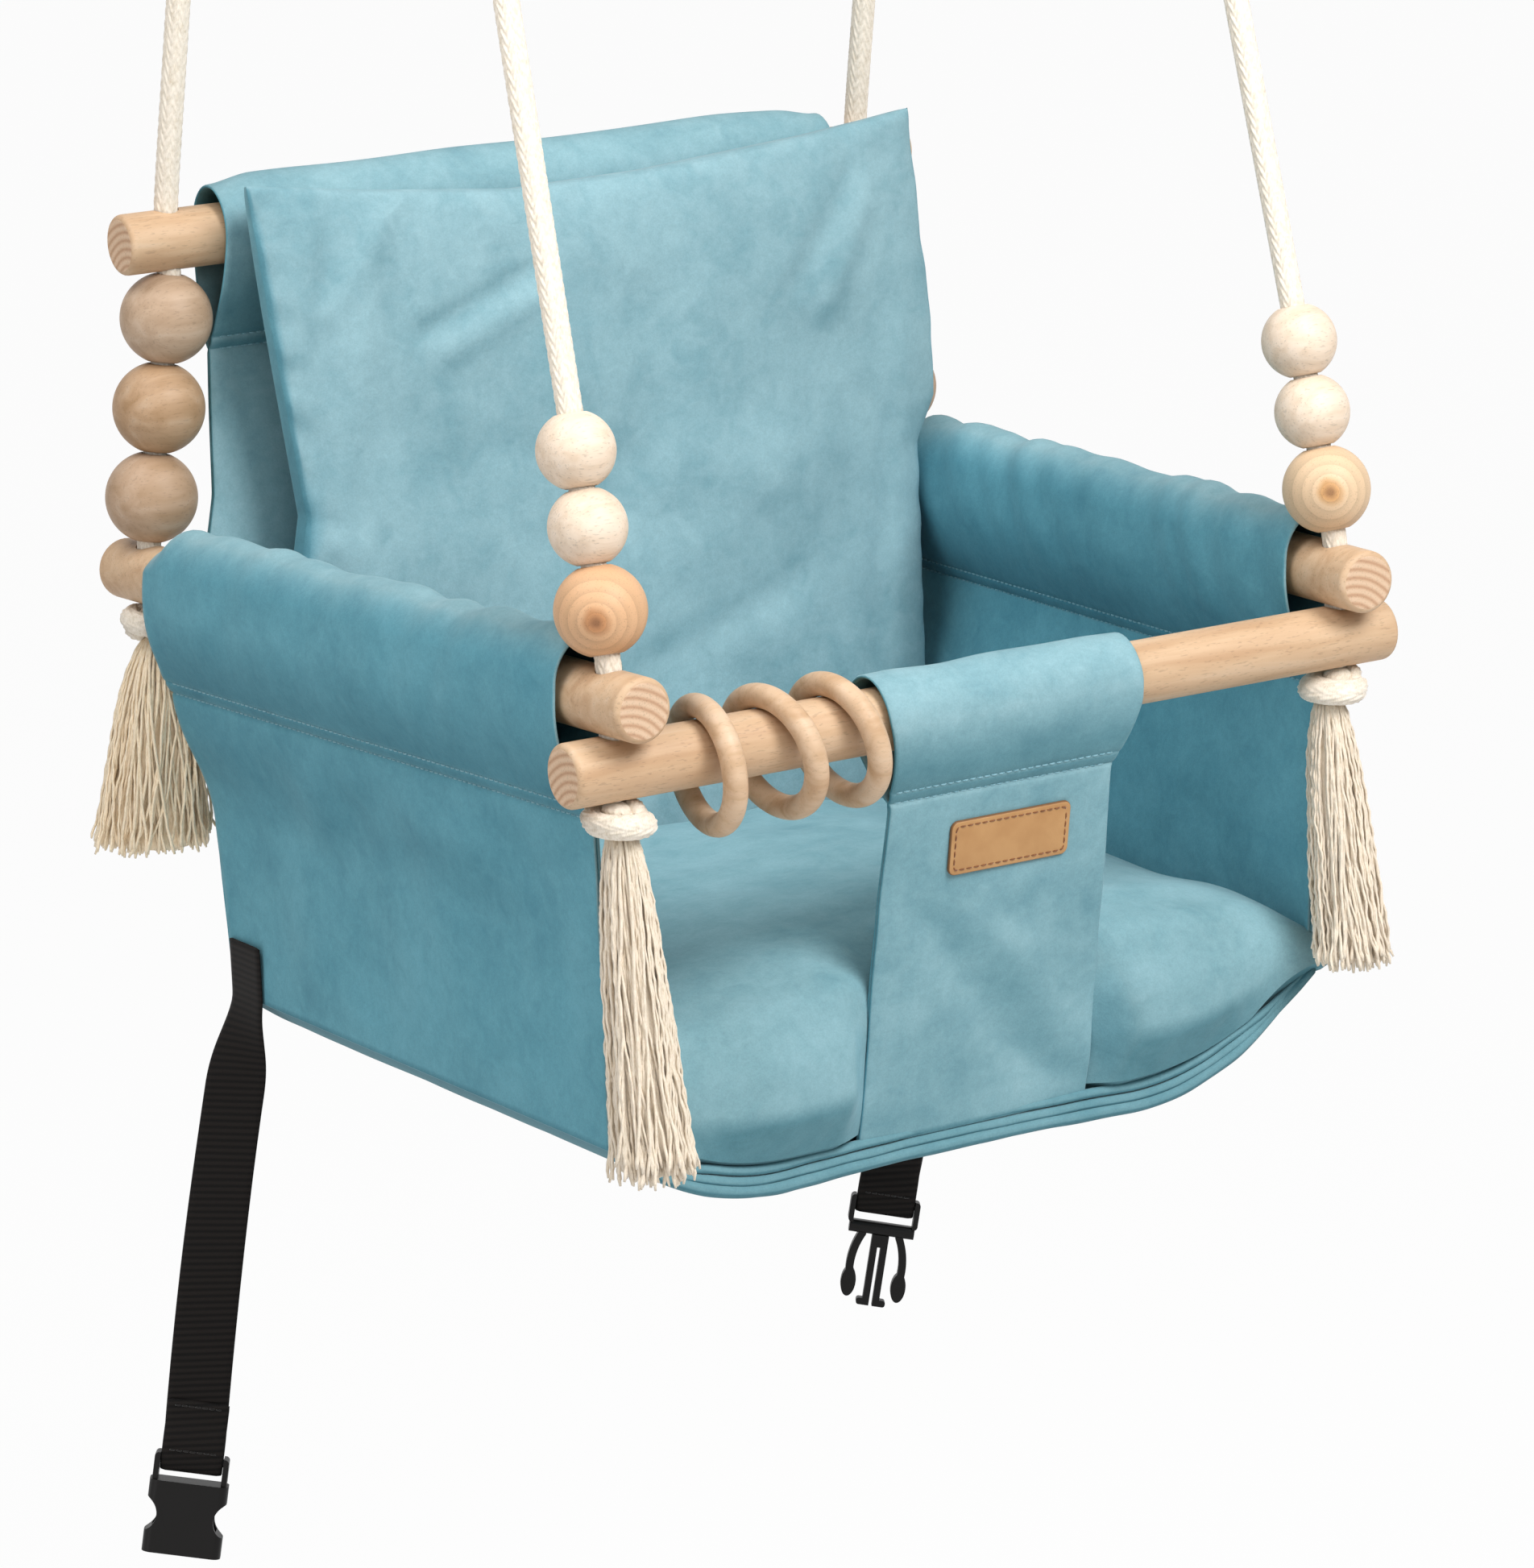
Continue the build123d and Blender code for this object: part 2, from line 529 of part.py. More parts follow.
def seat_cushion():
    """Crowned cushion that lies in the sagging base and is pressed in by the flap."""
    half_w = side_foot_x(0) - SEAT_CUSHION_CLEAR - CLOTH / 2
    lens = sagging_block(CLOTH + SEAT_GAP, LONG / 4, 0, BACK_Y)
    edge_z = SEAT_CUSHION_EDGE_Z
    shoulder = half_w * SEAT_CUSHION_SHOULDER
    shoulder_z = edge_z + (SEAT_CUSHION_TOP_Z - edge_z) * SEAT_CUSHION_SHOULDER_RISE
    crown = Spline(
        (-half_w, edge_z), (-shoulder, shoulder_z), (0, SEAT_CUSHION_TOP_Z), (shoulder, shoulder_z), (half_w, edge_z)
    )
    skirt = Polyline(crown @ 1, (half_w, BASE_Z), (-half_w, BASE_Z), crown @ 0)
    across = extrude(Plane.XZ * make_face([crown, skirt]), LONG, both=True)
    mid_z = (SEAT_CUSHION_EDGE_Z + BASE_Z) / 2
    nose = ThreePointArc(
        (SEAT_CUSHION_FRONT_Y + SEAT_CUSHION_NOSE, SEAT_CUSHION_TOP_Z),
        (SEAT_CUSHION_FRONT_Y + SEAT_CUSHION_BROW, SEAT_CUSHION_EDGE_Z + SEAT_CUSHION_BROW),
        (SEAT_CUSHION_FRONT_Y, mid_z),
    )
    rest = Polyline(
        nose @ 1,
        (SEAT_CUSHION_FRONT_Y + SEAT_CUSHION_TUCK, BASE_Z),
        (back_cushion_face_y(BASE_Z) - SEAT_GAP, BASE_Z),
        (back_cushion_face_y(SEAT_CUSHION_TOP_Z) - SEAT_GAP, SEAT_CUSHION_TOP_Z),
        nose @ 0,
    )
    along = extrude(Plane.YZ * make_face([nose, rest]), LONG, both=True)
    cushion = (lens & across & along) - (sag_layer(0, HEM_H + SEAT_GAP) & inside_scoop(CLOTH + SEAT_GAP))
    return cushion - flap_slab(2 * FLAP_FOOT_Y, CLOTH / 2 + SEAT_GAP, FLAP_TOP_HALF_W)


def quarter_roll(seam, full, along=0):
    """Arc from a cushion's seam to where it is full. Along is the axis that leads inward."""
    corner = 1 - cos(radians(45))
    mid = [full[i] + (seam[i] - full[i]) * corner for i in (0, 1)]
    mid[along] = seam[along] + (full[along] - seam[along]) * corner
    return ThreePointArc(seam, tuple(mid), full)


def back_cushion_section(left, right, z):
    """Section across the back cushion: it swells to the front and rear between two side seams."""
    face_y = back_cushion_face_y(z)
    seam_y = face_y + BACK_CUSHION_SWELL
    rear_y = back_face_y(z) - SEAT_GAP
    roll = BACK_CUSHION_ROLL
    rolls = [
        quarter_roll((left, seam_y), (left + roll, face_y)),
        quarter_roll((right, seam_y), (right - roll, face_y)),
        quarter_roll((right, seam_y), (right - roll, rear_y)),
        quarter_roll((left, seam_y), (left + roll, rear_y)),
    ]
    flats = [Line(rolls[0] @ 1, rolls[1] @ 1), Line(rolls[2] @ 1, rolls[3] @ 1)]
    return Plane.XY.offset(z) * make_face([*rolls, *flats])


def back_cushion():
    """Cushion with sewn knife edges that leans on the back panel, a little proud of its dowel."""
    half_w = BACK_CUSHION_HALF_W
    foot_w = SIDE_REAR_X - CLOTH / 2 - BACK_CUSHION_FOOT_CLEAR
    outline = (
        (-foot_w, foot_w, BASE_Z),
        (-foot_w, foot_w, SIDE_KNEE_Z),
        (BACK_CUSHION_X - half_w + BACK_CUSHION_WAIST_IN, BACK_CUSHION_X + half_w, BACK_CUSHION_WAIST_Z),
        (BACK_CUSHION_X - half_w, BACK_CUSHION_X + half_w, BACK_CUSHION_TOP_Z),
    )
    block = loft([back_cushion_section(*row) for row in outline], ruled=True)
    top_seam = (back_cushion_face_y(BACK_CUSHION_TOP_Z) + BACK_CUSHION_SWELL, BACK_CUSHION_TOP_Z)
    full_z = BACK_CUSHION_TOP_Z - BACK_CUSHION_ROLL
    front = quarter_roll(top_seam, (back_cushion_face_y(full_z), full_z), along=1)
    rear = quarter_roll(top_seam, (back_face_y(full_z) - SEAT_GAP, full_z), along=1)
    foot = ((back_cushion_face_y(BASE_Z), BASE_Z), (back_face_y(BASE_Z) - SEAT_GAP, BASE_Z))
    rest = Polyline(front @ 1, *foot, rear @ 1)
    block &= extrude(Plane.YZ * make_face([front, rest, rear]), LONG, both=True)
    block &= sagging_block(CLOTH + SEAT_GAP, LONG / 4, 0, BACK_Y)
    wall = tunnel_outline(TUNNEL_R, CLOTH + SEAT_GAP, TUNNEL_DROP + SEAT_GAP)
    return block - back_tunnel_place() * extrude(wall, LONG, both=True)


# ---------------------------------------------------------------- straps and buckle

def strap_tab(side):
    """Sewn-on end of the webbing on the side panel's rear lower corner."""
    tab = Box(WEB_T, WEB_W, TAB_H)
    return Pos(side * strap_x(), TAB_Y, SIDE_BOTTOM_Z + TAB_H / 2) * tab


def strap_x():
    """Distance of the webbing's middle from the swing's middle plane, outside the side panel."""
    return side_foot_x(TAB_Y) + CLOTH / 2 + SEAT_GAP + WEB_T / 2


def strap_frame(side_name):
    """Frame of a hanging strap: y across the webbing, z up along it, origin at its fold."""
    fold = Pos(SIDES[side_name] * strap_x(), TAB_Y, SIDE_BOTTOM_Z - SEAT_GAP - WEB_T / 2)
    return fold * Rot(0, STRAP_LEAN[side_name], 0)


def buckle_frame(side_name):
    """Frame of the buckle's bar at the strap's lower end, x across the twisted webbing."""
    return strap_frame(side_name) * Pos(0, 0, -STRAP_LEN[side_name]) * Rot(0, 0, STRAP_TWIST - 90)


def strap(side_name):
    """Twisted webbing with its end folded round the buckle's bar and stitched back on itself."""
    fold = Box(WEB_T, WEB_W, 2 * WEB_T)
    fold = fillet(fold.edges().filter_by(Axis.Y).group_by(Axis.Z)[-1], WEB_FOLD_R)
    fold = Pos(0, 0, -WEB_T / 2) * fold
    start = -3 * WEB_T / 2
    end = -(STRAP_LEN[side_name] - WEB_LOOP_DROP + WEB_T)
    steps = 4
    sections = [
        Pos(0, 0, start + (end - start) * i / steps)
        * Rot(0, 0, STRAP_TWIST * i / steps)
        * Rectangle(WEB_T, WEB_W)
        for i in range(steps + 1)
    ]
    web = strap_frame(side_name) * (fold + loft(sections))
    loop = Plane.YZ * Rot(0, 0, 180) * tunnel_profile(BAR_D / 2 + BAR_SLACK, WEB_T, WEB_LOOP_DROP)
    return web + buckle_frame(side_name) * extrude(loop, WEB_W / 2, both=True)


def yoke(width, thickness):
    """Slotted end of a buckle half: two legs that carry the webbing's round bar at the origin."""
    top = BAR_D / 2 + YOKE_RIM
    length = top + YOKE_LEN - BAR_D / 2 + YOKE_ROOT
    legs = Pos(0, 0, top - length / 2) * Box(width, thickness, length)
    legs = fillet(legs.edges().filter_by(Axis.Y), YOKE_EDGE_R)
    legs -= Pos(0, 0, top - length / 2) * Box(SLOT_W, 2 * thickness, 2 * length)
    bar = Rot(0, 90, 0) * Cylinder(BAR_D / 2, SLOT_W + YOKE_ROOT)
    return legs + bar


def buckle_socket():
    """Female half: a hollow shell with a wide mouth and a window in each side for the tips."""
    length = SOCKET_BODY_LEN
    shell = Pos(0, 0, -YOKE_LEN + BAR_D / 2 - length / 2) * Box(BUCKLE_W, BUCKLE_T, length)
    shell = fillet(shell.edges().filter_by(Axis.Z), SOCKET_EDGE_R)
    low = -YOKE_LEN + BAR_D / 2 - length
    cave_h = length - SOCKET_ROOF_T
    cave = Box(SOCKET_MOUTH_W, BUCKLE_T - 2 * SOCKET_WALL, cave_h + SOCKET_WALL)
    shell -= Pos(0, 0, low + (cave_h - SOCKET_WALL) / 2) * cave
    window_z = low + length * SOCKET_WINDOW_SHARE
    for side in SIDES.values():
        eye = Rot(90, 0, 0) * Cylinder(SOCKET_WINDOW_R, 2 * BUCKLE_T)
        shell -= Pos(side * (BUCKLE_W / 2 + SOCKET_WINDOW_OUT), 0, window_z) * eye
    shell += yoke(BUCKLE_W - 2 * YOKE_INSET, SOCKET_YOKE_T)
    return buckle_frame("left") * shell


def plug_arm(side):
    """Spring arm that springs outward to an oval tip."""
    start = (side * (PLUG_SPREAD - PLUG_ROOT_IN), 0)
    mid = (side * (PLUG_SPREAD + PLUG_BOW), -PLUG_ARM_LEN / 2)
    end = (side * (PLUG_SPREAD - PLUG_TIP_IN), -PLUG_ARM_LEN + PLUG_TIP_LEN / 2)
    bow = ThreePointArc(start, mid, end)
    limb = make_face(offset(bow, PLUG_ARM_W / 2))
    tip = Ellipse(PLUG_TIP_W / 2, PLUG_TIP_LEN / 2)
    tip = Pos(side * PLUG_SPREAD, -PLUG_ARM_LEN + PLUG_TIP_LEN / 2) * tip
    return extrude(Plane.XZ * (limb + tip), PLUG_ARM_T / 2, both=True)


def buckle_plug():
    """Male half: a slotted body, two spring arms and a split guide prong with hooked feet."""
    body_top = -YOKE_LEN + BAR_D / 2
    body = Box(BUCKLE_W - 2 * PLUG_BODY_INSET, PLUG_T, PLUG_BODY_LEN / 2)
    body = Pos(0, 0, body_top - PLUG_BODY_LEN / 4) * body
    body = fillet(body.edges().filter_by(Axis.X), PLUG_EDGE_R)
    prong_top = body_top - PLUG_BODY_LEN / 2
    guide_len = PLUG_ARM_LEN + GUIDE_FOOT_LEN
    guide = Pos(0, -guide_len / 2) * Rectangle(GUIDE_W, guide_len)
    foot = RectangleRounded(GUIDE_FOOT_W, GUIDE_FOOT_LEN, GUIDE_FOOT_R)
    guide += Pos(0, -guide_len + GUIDE_FOOT_LEN / 2) * foot
    guide -= Pos(0, -guide_len / 2 - PLUG_BODY_LEN / 2) * Rectangle(GUIDE_SLIT, guide_len)
    prongs = extrude(Plane.XZ * guide, PLUG_ARM_T / 2, both=True)
    for side in SIDES.values():
        prongs += plug_arm(side)
    whole = body + Pos(0, 0, prong_top) * prongs + yoke(BUCKLE_W - 2 * YOKE_INSET, PLUG_T)
    return buckle_frame("right") * whole


# ---------------------------------------------------------------- assembly

def build():
    yield "front_dowel", front_dowel()
    yield "back_dowel", back_dowel()
    for name, side in SIDES.items():
        yield f"{name}_arm_dowel", arm_dowel(side)
        yield f"{name}_side_panel", side_panel(side)
        yield from front_beads(name)
        yield from rear_beads(name)
        yield f"{name}_strap_tab", strap_tab(side)
        yield f"{name}_strap", strap(name)
        for end in ("front", "rear"):
            yield f"{end}_{name}_rope", rope(end, side)
            yield f"{end}_{name}_stopper_knot", stopper_knot(end, side)
            yield f"{end}_{name}_tassel", tassel(end, name)
            yield f"{end}_{name}_rope_eye", rope_eye(end, side)
    for place, x, tilt, turn in zip(("left", "middle", "right"), RING_X, RING_TILT, RING_TURN):
        yield f"{place}_toy_ring", toy_ring(x, tilt, turn)
    yield "seat_base", seat_base()
    yield "back_panel", back_panel()
    yield "crotch_flap", crotch_flap()
    yield "leather_patch", leather_patch()
    yield "seat_cushion", seat_cushion()
    yield "back_cushion", back_cushion()
    yield "buckle_socket", buckle_socket()
    yield "buckle_plug", buckle_plug()


front_eye = rope_corners("front", 1)[2]
rear_eye = rope_corners("rear", 1)[2]
TO_HOOKS = Pos(0, -(front_eye.Y + rear_eye.Y) / 2, -EYE_Z)
os.makedirs("parts", exist_ok=True)
for node, shape in build():
    export_step(TO_HOOKS * shape, f"parts/{node}.step")
print("origin in the seat frame:", 0, (front_eye.Y + rear_eye.Y) / 2, EYE_Z)
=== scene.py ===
"""Looks of a toddler bucket swing: velvet seat and cushions, beech dowels and beads, braided cotton ropes.

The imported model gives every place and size; this script dresses it. Sizes are in millimetres
in the seat's own frame: origin on the middle of the front dowel's axis, +X to the right of
someone who faces the open front, +Y to the back, +Z up.
"""

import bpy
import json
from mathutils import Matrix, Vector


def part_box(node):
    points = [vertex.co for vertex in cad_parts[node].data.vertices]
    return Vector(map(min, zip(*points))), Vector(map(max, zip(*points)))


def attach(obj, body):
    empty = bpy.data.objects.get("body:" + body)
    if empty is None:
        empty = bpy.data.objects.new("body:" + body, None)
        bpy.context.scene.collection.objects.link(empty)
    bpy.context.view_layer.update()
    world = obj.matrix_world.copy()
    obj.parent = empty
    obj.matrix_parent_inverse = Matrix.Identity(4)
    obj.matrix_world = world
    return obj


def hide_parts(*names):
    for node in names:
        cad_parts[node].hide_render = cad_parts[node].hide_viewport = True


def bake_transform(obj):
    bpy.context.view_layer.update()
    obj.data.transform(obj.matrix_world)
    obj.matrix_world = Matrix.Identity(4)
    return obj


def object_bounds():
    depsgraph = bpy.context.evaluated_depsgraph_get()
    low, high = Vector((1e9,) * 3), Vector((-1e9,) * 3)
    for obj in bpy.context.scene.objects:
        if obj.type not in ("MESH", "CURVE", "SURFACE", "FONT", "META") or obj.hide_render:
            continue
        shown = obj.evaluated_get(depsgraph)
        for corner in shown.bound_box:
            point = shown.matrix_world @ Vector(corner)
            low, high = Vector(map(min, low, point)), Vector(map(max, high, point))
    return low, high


bl_info = {
    "name": "Toddler bucket swing looks",
    "version": (1, 0, 0),
    "blender": (4, 5, 0),
    "location": "View3D > Sidebar > Swing",
    "description": "Dresses the packed model of a toddler bucket swing in velvet, beech and braided cotton",
    "category": "Object",
}

import json
import math

import bpy
import numpy as np
from mathutils import Matrix, Vector, noise

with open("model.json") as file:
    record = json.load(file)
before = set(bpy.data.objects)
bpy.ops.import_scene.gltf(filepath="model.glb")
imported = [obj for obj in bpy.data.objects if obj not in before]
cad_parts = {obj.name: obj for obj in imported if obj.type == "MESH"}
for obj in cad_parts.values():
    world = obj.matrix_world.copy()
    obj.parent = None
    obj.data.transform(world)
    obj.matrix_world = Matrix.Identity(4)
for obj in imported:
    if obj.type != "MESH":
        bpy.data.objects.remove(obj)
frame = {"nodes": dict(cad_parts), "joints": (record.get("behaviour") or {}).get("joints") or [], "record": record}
CAD_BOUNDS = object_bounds()

MM = 0.001
SIDES = {"left": -1, "right": 1}
SEAT_BODY = "hung_seat"
ORIGIN = np.array((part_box("front_dowel")[0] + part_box("front_dowel")[1]) / 2)


def scene_point(point):
    """A point, or an array of points, of the seat's frame as the scene's metres."""
    return np.asarray(point, float) * MM + ORIGIN


def seat_box(node):
    """Lowest and highest corner of a node in the seat's frame, in millimetres."""
    low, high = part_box(node)
    return (np.array(low) - ORIGIN) / MM, (np.array(high) - ORIGIN) / MM


def middle(node):
    """Middle of a node's box in the seat's frame."""
    low, high = seat_box(node)
    return (low + high) / 2


# Driving dimensions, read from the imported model
ARM_Z = float(middle("right_arm_dowel")[2])
HOLE_X = float(middle("front_right_stopper_knot")[0])
REAR_HOLE_X, REAR_HOLE_Y = (float(v) for v in middle("rear_right_stopper_knot")[:2])
BACK_Y, BACK_Z = (float(v) for v in middle("back_dowel")[1:])
PANEL_FOOT_Z = float(seat_box("left_side_panel")[0][2])
BASE_Z = float(seat_box("seat_base")[0][2])
ARM_SLOPE = (REAR_HOLE_X - HOLE_X) / REAR_HOLE_Y


# ------------------------------------------------------------------ settings

class SwingSizes(bpy.types.PropertyGroup):
    """Sizes of the sewn and braided pieces, in millimetres"""

    cloth: bpy.props.FloatProperty(
        name="Cloth", description="Thickness of one layer of velvet", default=1.4, min=0.5, max=4)
    grid: bpy.props.FloatProperty(
        name="Cloth grid", description="Spacing of the points of a cloth mesh", default=2.6, min=1, max=10)
    rope: bpy.props.FloatProperty(
        name="Rope", description="Diameter of the braided rope", default=9.5, min=4, max=20)
    braid_pitch: bpy.props.FloatProperty(
        name="Braid pitch", description="Length along the rope from one stitch to the next",
        default=5.0, min=2, max=12)
    yarn: bpy.props.FloatProperty(
        name="Tassel yarn", description="Thickness of one strand of a tassel", default=1.3, min=0.4, max=3)
    stitch: bpy.props.FloatProperty(
        name="Stitch", description="Length of one stitch of the seams", default=2.6, min=1, max=6)
    webbing: bpy.props.FloatProperty(
        name="Webbing", description="Width of the nylon straps", default=25.0, min=10, max=50)


class SwingColours(bpy.types.PropertyGroup):
    """Colours of the swing, as sRGB"""

    velvet: bpy.props.StringProperty(
        name="Velvet", description="Velvet, nap lying down", default="#8EB3BC")
    velvet_light: bpy.props.StringProperty(
        name="Velvet light", description="Velvet, nap brushed up", default="#A4C7CF")
    velvet_dark: bpy.props.StringProperty(
        name="Velvet dark", description="Velvet, nap brushed down", default="#709CA7")
    beech: bpy.props.StringProperty(
        name="Beech", description="Sanded beech of the dowels", default="#CCAD8C")
    rope: bpy.props.StringProperty(
        name="Cotton", description="Unbleached cotton of the ropes", default="#F2E8D9")
    leather: bpy.props.StringProperty(
        name="Leather", description="Vegetable tanned leather of the patch", default="#B98D5C")


def sizes():
    return bpy.context.scene.swing_sizes


def colours():
    return bpy.context.scene.swing_colours


# ------------------------------------------------------------------ materials

# Sizes of the patterns, in millimetres
VELVET_CLOUD = 60.0         # where a hand has brushed the pile
VELVET_STROKE = 19.0        # single strokes
VELVET_CRUSH = 8.0          # crushed marks
VELVET_WEAVE = 2.2          # unevenness of the ground weave; the real one is finer than shows
VELVET_PILE = 0.7           # tufts of the pile; the real ones are finer than shows
VELVET_SHADE_TONE = "#3A6F7C"     # tone towards which the velvet of pieces that lie in shade is darkened: painted shade
BEECH_BAND = 7.0            # growth bands along the grain
BEECH_PORE = 0.75           # dark pore flecks
END_RING = 3.6              # growth rings in the end grain beads
SAWN_RING = 3.4             # and in the sawn ends of the dowels
HEART = 9.0                 # dark heart of an end grain bead
COTTON_TUFT = 2.4
WEBBING_RIB = 2.7
LEATHER_CLOUD = 14.0
LEATHER_PORE = 0.5
ACETAL_GRAIN = 0.35
WARM_DARK = "#6A4630"


def linear(colour):
    """A linear RGBA colour from sRGB hex."""
    channels = [int(colour[i:i + 2], 16) / 255 for i in (1, 3, 5)]
    return (*(c / 12.92 if c <= 0.04045 else ((c + 0.055) / 1.055) ** 2.4 for c in channels), 1.0)


def add_node(tree, kind, links=None, **settings):
    """Adds a node. Settings name its properties or inputs; links give an input's source socket."""
    node = tree.nodes.new(kind)
    for name, value in settings.items():
        if hasattr(node, name) and name not in node.inputs:
            setattr(node, name, value)
        else:
            node.inputs[name].default_value = value
    for name, source in (links or {}).items():
        tree.links.new(source, node.inputs[name])
    return node


def new_material(name, roughness=0.6, **settings):
    """A material with its Principled shader; returns the material, its tree and the shader."""
    material = bpy.data.materials.get(name)
    if material:
        bpy.data.materials.remove(material)
    material = bpy.data.materials.new(name)
    material.use_nodes = True
    shader = material.node_tree.nodes["Principled BSDF"]
    shader.inputs["Roughness"].default_value = roughness
    for key, value in settings.items():
        shader.inputs[key.replace("_", " ")].default_value = value
    return material, material.node_tree, shader


def place_in(tree, scale=(1, 1, 1), turn=(0, 0, 0)):
    """Object coordinates, turned and stretched; the coordinates are the scene's metres."""
    source = add_node(tree, "ShaderNodeTexCoord").outputs["Object"]
    mapping = add_node(tree, "ShaderNodeMapping", {"Vector": source}, Scale=scale, Rotation=turn)
    return mapping.outputs["Vector"]


def place_from(tree, centre, axis):
    """Coordinates measured from a point of the seat's frame, turned so that Z runs along axis."""
    source = add_node(tree, "ShaderNodeTexCoord").outputs["Object"]
    moved = add_node(tree, "ShaderNodeVectorMath", {0: source}, operation="SUBTRACT")
    moved.inputs[1].default_value = scene_point(centre)
    turn = Vector(axis).rotation_difference(Vector((0, 0, 1))).to_euler()
    return add_node(tree, "ShaderNodeVectorRotate", {"Vector": moved.outputs[0]},
                    rotation_type="EULER_XYZ", Rotation=turn).outputs[0]


def noise_at(tree, vector, millimetres, detail=2.0, roughness=0.5, distortion=0.0):
    """Noise whose patches are about so many millimetres across."""
    return add_node(
        tree, "ShaderNodeTexNoise", {"Vector": vector},
        Scale=1 / (millimetres * MM), Detail=detail, Roughness=roughness, Distortion=distortion,
    ).outputs["Fac"]


def stops(tree, factor, *points):
    """A colour ramp through (position, sRGB hex or grey) points."""
    node = add_node(tree, "ShaderNodeValToRGB", {"Fac": factor})
    ramp = node.color_ramp
    while len(ramp.elements) < len(points):
        ramp.elements.new(0.5)
    for element, (position, value) in zip(ramp.elements, points):
        element.position = position
        element.color = linear(value) if isinstance(value, str) else (value, value, value, 1)
    return node.outputs["Color"]


def mixed(tree, factor, first, second, blend="MIX"):
    """Colour mix of two sockets or sRGB hex values by a socket or number."""
    node = add_node(tree, "ShaderNodeMix", data_type="RGBA", blend_type=blend)
    for index, value in ((0, factor), (6, first), (7, second)):
        if isinstance(value, bpy.types.NodeSocket):
            tree.links.new(value, node.inputs[index])
        elif isinstance(value, str):
            node.inputs[index].default_value = linear(value)
        else:
            node.inputs[index].default_value = value
    return node.outputs[2]


def maths(tree, operation, first, second=0.0):
    """One sum, product or the like of two sockets or numbers."""
    node = add_node(tree, "ShaderNodeMath", operation=operation)
    for index, value in ((0, first), (1, second)):
        if isinstance(value, bpy.types.NodeSocket):
            tree.links.new(value, node.inputs[index])
        else:
            node.inputs[index].default_value = value
    return node.outputs[0]


def weighted(tree, *parts):
    """Sum of sockets, each times its own weight."""
    total = None
    for socket, weight in parts:
        part = maths(tree, "MULTIPLY", socket, weight)
        total = part if total is None else maths(tree, "ADD", total, part)
    return total


def bump(tree, shader, *layers):
    """Chains bump layers of (height socket, strength, millimetres) into the shader's normal."""
    normal = None
    for height, strength, distance in layers:
        links = {"Height": height}
        if normal:
            links["Normal"] = normal
        node = add_node(tree, "ShaderNodeBump", links, Strength=strength, Distance=distance * MM)
        normal = node.outputs["Normal"]
    tree.links.new(normal, shader.inputs["Normal"])


def crushed_velvet(name, painted_shade=0.0):
    """Polyester velvet: short pile, brushed into clouds and crushed marks of lighter and darker
    nap. It is dull, with a faint sheen where the pile ends catch the light. Painted shade is how far
    its tones are darkened towards the velvet's shade tone, from 0 to 1, for pieces that lie in shade."""
    look = colours()
    dark, middle_tone, light = (
        mix_hex(tone, VELVET_SHADE_TONE, painted_shade) for tone in (look.velvet_dark, look.velvet, look.velvet_light))
    material, tree, shader = new_material(
        name, roughness=0.82, IOR=1.5, Specular_IOR_Level=0.18,
        Sheen_Weight=0.22, Sheen_Roughness=0.4, Sheen_Tint=linear("#DCEFF3"))
    here = place_in(tree)
    clouds = noise_at(tree, here, VELVET_CLOUD, detail=3, roughness=0.55, distortion=0.5)
    strokes = noise_at(tree, place_in(tree, scale=(1, 0.8, 0.7), turn=(0.2, 0.9, 0.1)), VELVET_STROKE,
                       detail=3, roughness=0.58, distortion=0.7)
    crushed = noise_at(tree, place_in(tree, scale=(0.7, 1, 1), turn=(0.7, 0.2, 0.5)), VELVET_CRUSH,
                       detail=2, roughness=0.5, distortion=0.8)
    patches = weighted(tree, (clouds, 0.42), (strokes, 0.34), (crushed, 0.24))
    base = stops(tree, patches, (0.26, dark), (0.49, middle_tone), (0.74, light))
    pile = noise_at(tree, here, VELVET_PILE, detail=2)
    weave = noise_at(tree, here, VELVET_WEAVE, detail=2)
    speckle = stops(tree, weighted(tree, (pile, 0.6), (weave, 0.4)), (0.3, 0.84), (0.7, 1.0))
    # painted shade: faces turned sideways or down are made darker and more saturated, for the shade that falls on
    # the sides and undersides
    normal = add_node(tree, "ShaderNodeTexCoord").outputs["Normal"]
    facing = add_node(tree, "ShaderNodeSeparateXYZ", {0: normal})
    sideways = stops(tree, maths(tree, "ABSOLUTE", facing.outputs["X"]), (0.5, "#FFFFFF"), (0.97, "#BDEBF6"))
    down = maths(tree, "MULTIPLY", facing.outputs["Z"], -1.0)
    painted_under_shade = stops(tree, down, (0.04, "#FFFFFF"), (0.45, "#B9D6DC"))
    for tint in (sideways, painted_under_shade, speckle):
        base = mixed(tree, 1.0, base, tint, "MULTIPLY")
    tree.links.new(base, shader.inputs["Base Color"])
    bump(tree, shader, (strokes, 0.25, 1.0), (crushed, 0.18, 0.5), (weave, 0.2, 0.3), (pile, 0.3, 0.2))
    return material


